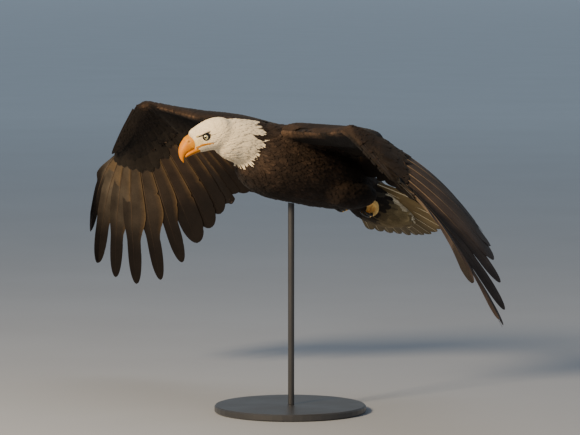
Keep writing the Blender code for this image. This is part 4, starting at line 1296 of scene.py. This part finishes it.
def make_eyes():
    """Eyeballs with a pale yellow iris, a round pupil and a dark rim under a wet cornea."""
    nodes = Nodes("eye", Roughness=0.08, Coat_Weight=1.0, Coat_Roughness=0.02)
    nodes.paint(nodes.ramp(nodes.noise(900.0, 3.0), 0.35, 0.65, 0.75, 1.2))
    rows, sides = 46, 36
    polar = np.linspace(0.02, math.pi - 0.02, rows)
    angle = np.linspace(0, 2 * math.pi, sides, endpoint=False)
    bulge = (0.0098 + 0.0007 * np.exp(-(polar / 0.42) ** 2))[:, None, None]
    c, s = np.cos(polar)[:, None, None], np.sin(polar)[:, None, None]
    iris = mix(IRIS_INNER, IRIS_OUTER, smooth((polar - 0.25) / 0.15)[:, None])
    iris = mix(iris, DARK * 0.6, smooth((polar - 0.50) / 0.06)[:, None])
    tone = mix(np.full((rows, 3), 0.004), iris, smooth((polar - 0.24) / 0.03)[:, None])
    for side, sign in SIDES.items():
        gaze = unit(np.array((0.93, -0.34, -0.05)) * (sign, 1, 1))
        one = unit(np.cross(gaze, (0, 0, 1)))
        two = np.cross(one, gaze)
        across = np.cos(angle)[None, :, None] * one + np.sin(angle)[None, :, None] * two
        rings = bulge * c * gaze + bulge * s * across
        coat = Coat("eyeball_" + side)
        coat.loft(rings + np.array((sign * 0.0195, -0.004, 0.0)), np.repeat(tone[:, None], sides, axis=1))
        coat.build(nodes.material, "eye", HEAD, ("eye_" + side,))


# ---- feet ----
PALMS = {"left": (0.051, 0.252, -0.050), "right": (0.047, 0.252, -0.044)}
TOES = ((-10.0, -0.0095, 0.044), (0.0, 0.0, 0.049), (10.0, 0.0095, 0.044))  # yaw, how far aside, length
HIND_TOE = (0.0, 0.0, 0.016)
TOE_RADIUS, TALON_LENGTH = 0.0062, 0.023
SHANK = (
    (0, 0.004, -0.046, 0.010),
    (1, 0.002, -0.026, 0.005),
    (2, 0.001, -0.016, 0.003),
    (3, 0.0, -0.004, 0.0),
    (4, 0.0, 0.010, -0.001),
)


def curl(start, yaw, fall, turn, length, steps):
    """Points along a bent toe or talon, which falls more and more steeply on its way."""
    yaw, points = math.radians(yaw), [np.array(start)]
    for i in range(steps):
        angle = math.radians(fall + turn * (i + 0.5) / steps)
        level = math.cos(angle)
        ahead = np.array((math.sin(yaw) * level, math.cos(yaw) * level, -math.sin(angle)))
        points.append(points[-1] + ahead * length / steps)
    return np.array(points)


def make_feet(leg, horn):
    for side, sign in SIDES.items():
        palm = np.array(PALMS[side]) * (sign, 1, 1)
        foot, talons = Coat("scaled_foot_" + side), Coat("polished_talons_" + side)
        t = np.linspace(0, 4, 20)
        shank = np.array([palm + np.array(spline(SHANK, a)) * (sign, 1, 1) for a in t])
        radii = np.interp(t, (0, 1, 2, 3, 4), (0.0088, 0.0098, 0.0112, 0.0122, 0.0088))
        foot.tube(shank, radii * (1 + 0.03 * (np.arange(20) % 2)), 16, LEG, (0.2, 0.5))
        for number, (yaw, aside, length) in enumerate((*TOES, HIND_TOE)):
            hind = number == len(TOES)
            fall, turn, behind = (125.0, 20.0, -0.012) if hind else (-20.0, 175.0, 0.0)
            points = curl(palm + (aside, behind, 0.0), yaw, fall, turn, length, 34)
            share = np.linspace(0, 1, len(points))
            scutes = 1 + 0.045 * np.abs(np.sin(share * math.pi * 11)) + 0.05 * np.cos(share * math.pi * 6)
            radii = TOE_RADIUS * (1 - 0.25 * share) * scutes * np.where(share > 0.96, 0.8, 1.0)
            up = (math.cos(math.radians(yaw)), -math.sin(math.radians(yaw)), 0.0)
            tone = LEG * (1 - 0.30 * (np.abs(np.sin(share * math.pi * 11)) < 0.25))[:, None]
            foot.tube(points, radii, 14, tone, (0.3 + 0.15 * number, 0.5), up)
            if hind:
                continue
            ahead = unit(points[-1] - points[-2])
            claw = curl(points[-1] + ahead * -0.001, yaw, fall + turn, 55.0, TALON_LENGTH, 16)
            taper = 0.0040 * (1 - np.linspace(0, 1, len(claw))) ** 0.75 + 0.0004
            talons.tube(claw, taper, 12, DARK * 0.6, (0.2 + 0.2 * number, 0.5), up)
        foot.build(leg, "toe_skin", BIRD, ("foot_" + side,))
        talons.build(horn, "talon", BIRD, tuple(f"talon_{side}_{k}" for k in (1, 2, 3)))


# ---- stage ----
def make_stage():
    """A floor, dark grey near the stand and paler and bluer far off, wide enough to be the backdrop too, and
    an even light from the sky; the dark near the stand is painted shade that offsets the lamps' light there.
    """
    nodes = Nodes("pale_floor", Roughness=0.85)
    away = nodes.new("ShaderNodeVectorMath", operation="LENGTH")
    nodes.link(nodes.new("ShaderNodeTexCoord").outputs["Object"], away.inputs[0])
    near = nodes.ramp(away.outputs["Value"], 1.0, 14.0, 0.0, 0.75)
    far = nodes.ramp(away.outputs["Value"], 14.0, 90.0, 0.0, 0.25)
    cloud = nodes.ramp(nodes.noise(1.5, 3.0), 0.3, 0.7, -0.03, 0.03)
    nodes.blend(FLOOR_NEAR, FLOOR_FAR, nodes.math("ADD", nodes.math("ADD", near, far), cloud))
    bm = bmesh.new()
    bmesh.ops.create_circle(bm, cap_ends=True, segments=96, radius=FLOOR_RADIUS)
    mesh = bpy.data.meshes.new("floor")
    bm.to_mesh(mesh)
    bm.free()
    mesh.materials.append(nodes.material)
    new_object("floor", mesh)
    world = bpy.data.worlds.new("studio")
    bpy.context.scene.world = world
    world.use_nodes = True
    background = world.node_tree.nodes["Background"]
    background.inputs["Color"].default_value = (*SKY, 1)
    background.inputs["Strength"].default_value = SKY_STRENGTH


def area_light(name, place_at, target, size, power, colour):
    data = bpy.data.lights.new(name, "AREA")
    data.shape, data.size, data.energy, data.color = "DISK", size, power, colour
    light = new_object(name, data)
    light.location = place_at
    light.rotation_euler = (target - place_at).to_track_quat("-Z", "Y").to_euler()


def make_camera_and_lights():
    """A long lens from ahead of the bird's left side, a little above it; the lights go with it."""
    azimuth, elevation = math.radians(CAMERA_AZIMUTH), math.radians(CAMERA_ELEVATION)
    level = math.cos(elevation)
    back = Vector((math.sin(azimuth) * level, -math.cos(azimuth) * level, math.sin(elevation)))
    right, up = Vector((math.cos(azimuth), math.sin(azimuth), 0)), Vector((0, 0, 1))
    middle = Vector((0, BIRD_AFT, BIRD_HEIGHT))
    target = middle + right * CAMERA_SHIFT[0] - back.cross(right) * CAMERA_SHIFT[1]
    data = bpy.data.cameras.new("camera")
    data.lens, data.sensor_width, data.clip_end = 200, 36, 100
    camera = new_object("camera", data)
    camera.location = target + back * CAMERA_DISTANCE
    camera.rotation_euler = (-back).to_track_quat("-Z", "Y").to_euler()
    bpy.context.scene.camera = camera
    for name, place_at, size, power, colour in (
        ("key", middle + back * 3.0 - right * 2.6 + up * 1.6, 0.9, 368, (1.0, 0.79, 0.52)),
        ("fill", middle + back * 3.5 + right * 2.5 + up * 0.6, 2.5, 7, (0.85, 0.90, 1.0)),
        ("top", middle + up * 3.2 - back * 0.8, 2.5, 16, (0.88, 0.93, 1.0)),
    ):
        area_light(name, place_at, middle, size, power, colour)


def main():
    feather = feather_material("brown_feather", 160.0, 0.25, 0.70, 0.03)
    flight = feather_material("flight_feather", 1500.0, 0.10, 0.58, 0.03, 0.15)
    white_feather = feather_material("white_feather", 160.0, 0.25, 0.75, 0.15, 0.06)
    horn, leg = horn_material("bill_horn", 0.48), horn_material("leg_skin", 0.50, fine=700.0)
    claw = horn_material("claw_horn", 0.18, 0.7, 1.3, coat=0.6)
    skin = make_skin()
    spots = read(skin.vertices, "co", 3)
    tints = body_tint(spots) * 0.75
    tints = mix(tints, DARK * 1.1, smooth((np.abs(spots[:, 0]) - 0.10) / 0.02)[:, None])
    skin_tree = BVHTree.FromPolygons([Vector(p) for p in spots], [tuple(p.vertices) for p in skin.polygons])
    body_tree = tree_of(("trunk",))
    finish_mesh(skin, tints, body_places(spots), body_places(spots))

    def inside(points):
        foot, normal, distance = nearest(body_tree, points)
        return (dot(points - foot, normal)[:, 0] < 0) & (distance > 0.004)

    covered = []
    for side in SIDES:
        wing = Wing(side)
        blades = Coat("flight_feathers_" + side)
        for index in range(LAST):
            flight_feather(blades, wing, index)
        alula(blades, wing)
        nodes = [f"primary_{side}_{k:02d}" for k in range(1, 11)] + ["secondaries_" + side]
        blades.build(flight, "flight_feather", BIRD, nodes)
        for top in (True, False):
            wing_coverts(wing, top, inside, covered).build(feather, "body_feather", BIRD)
    add_body_coats(skin, skin_tree, feather, white_feather, np.concatenate(covered))
    tail_feathers().build(white_feather, "tail_feather", BIRD, ("tail_fan",))
    make_bill(horn)
    make_face(skin_tree, horn)
    make_eyes()
    make_feet(leg, claw)
    skin.transform(BIRD)
    skin.shade_smooth()
    place("skin", skin, feather, "body_feather", BODY_FLESH + WING_FLESH)
    paint = stand_material()
    for name in ("stand_base", "stand_rod"):
        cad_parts[name].data.materials.clear()
        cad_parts[name].data.materials.append(paint)
    make_stage()
    make_camera_and_lights()


main()
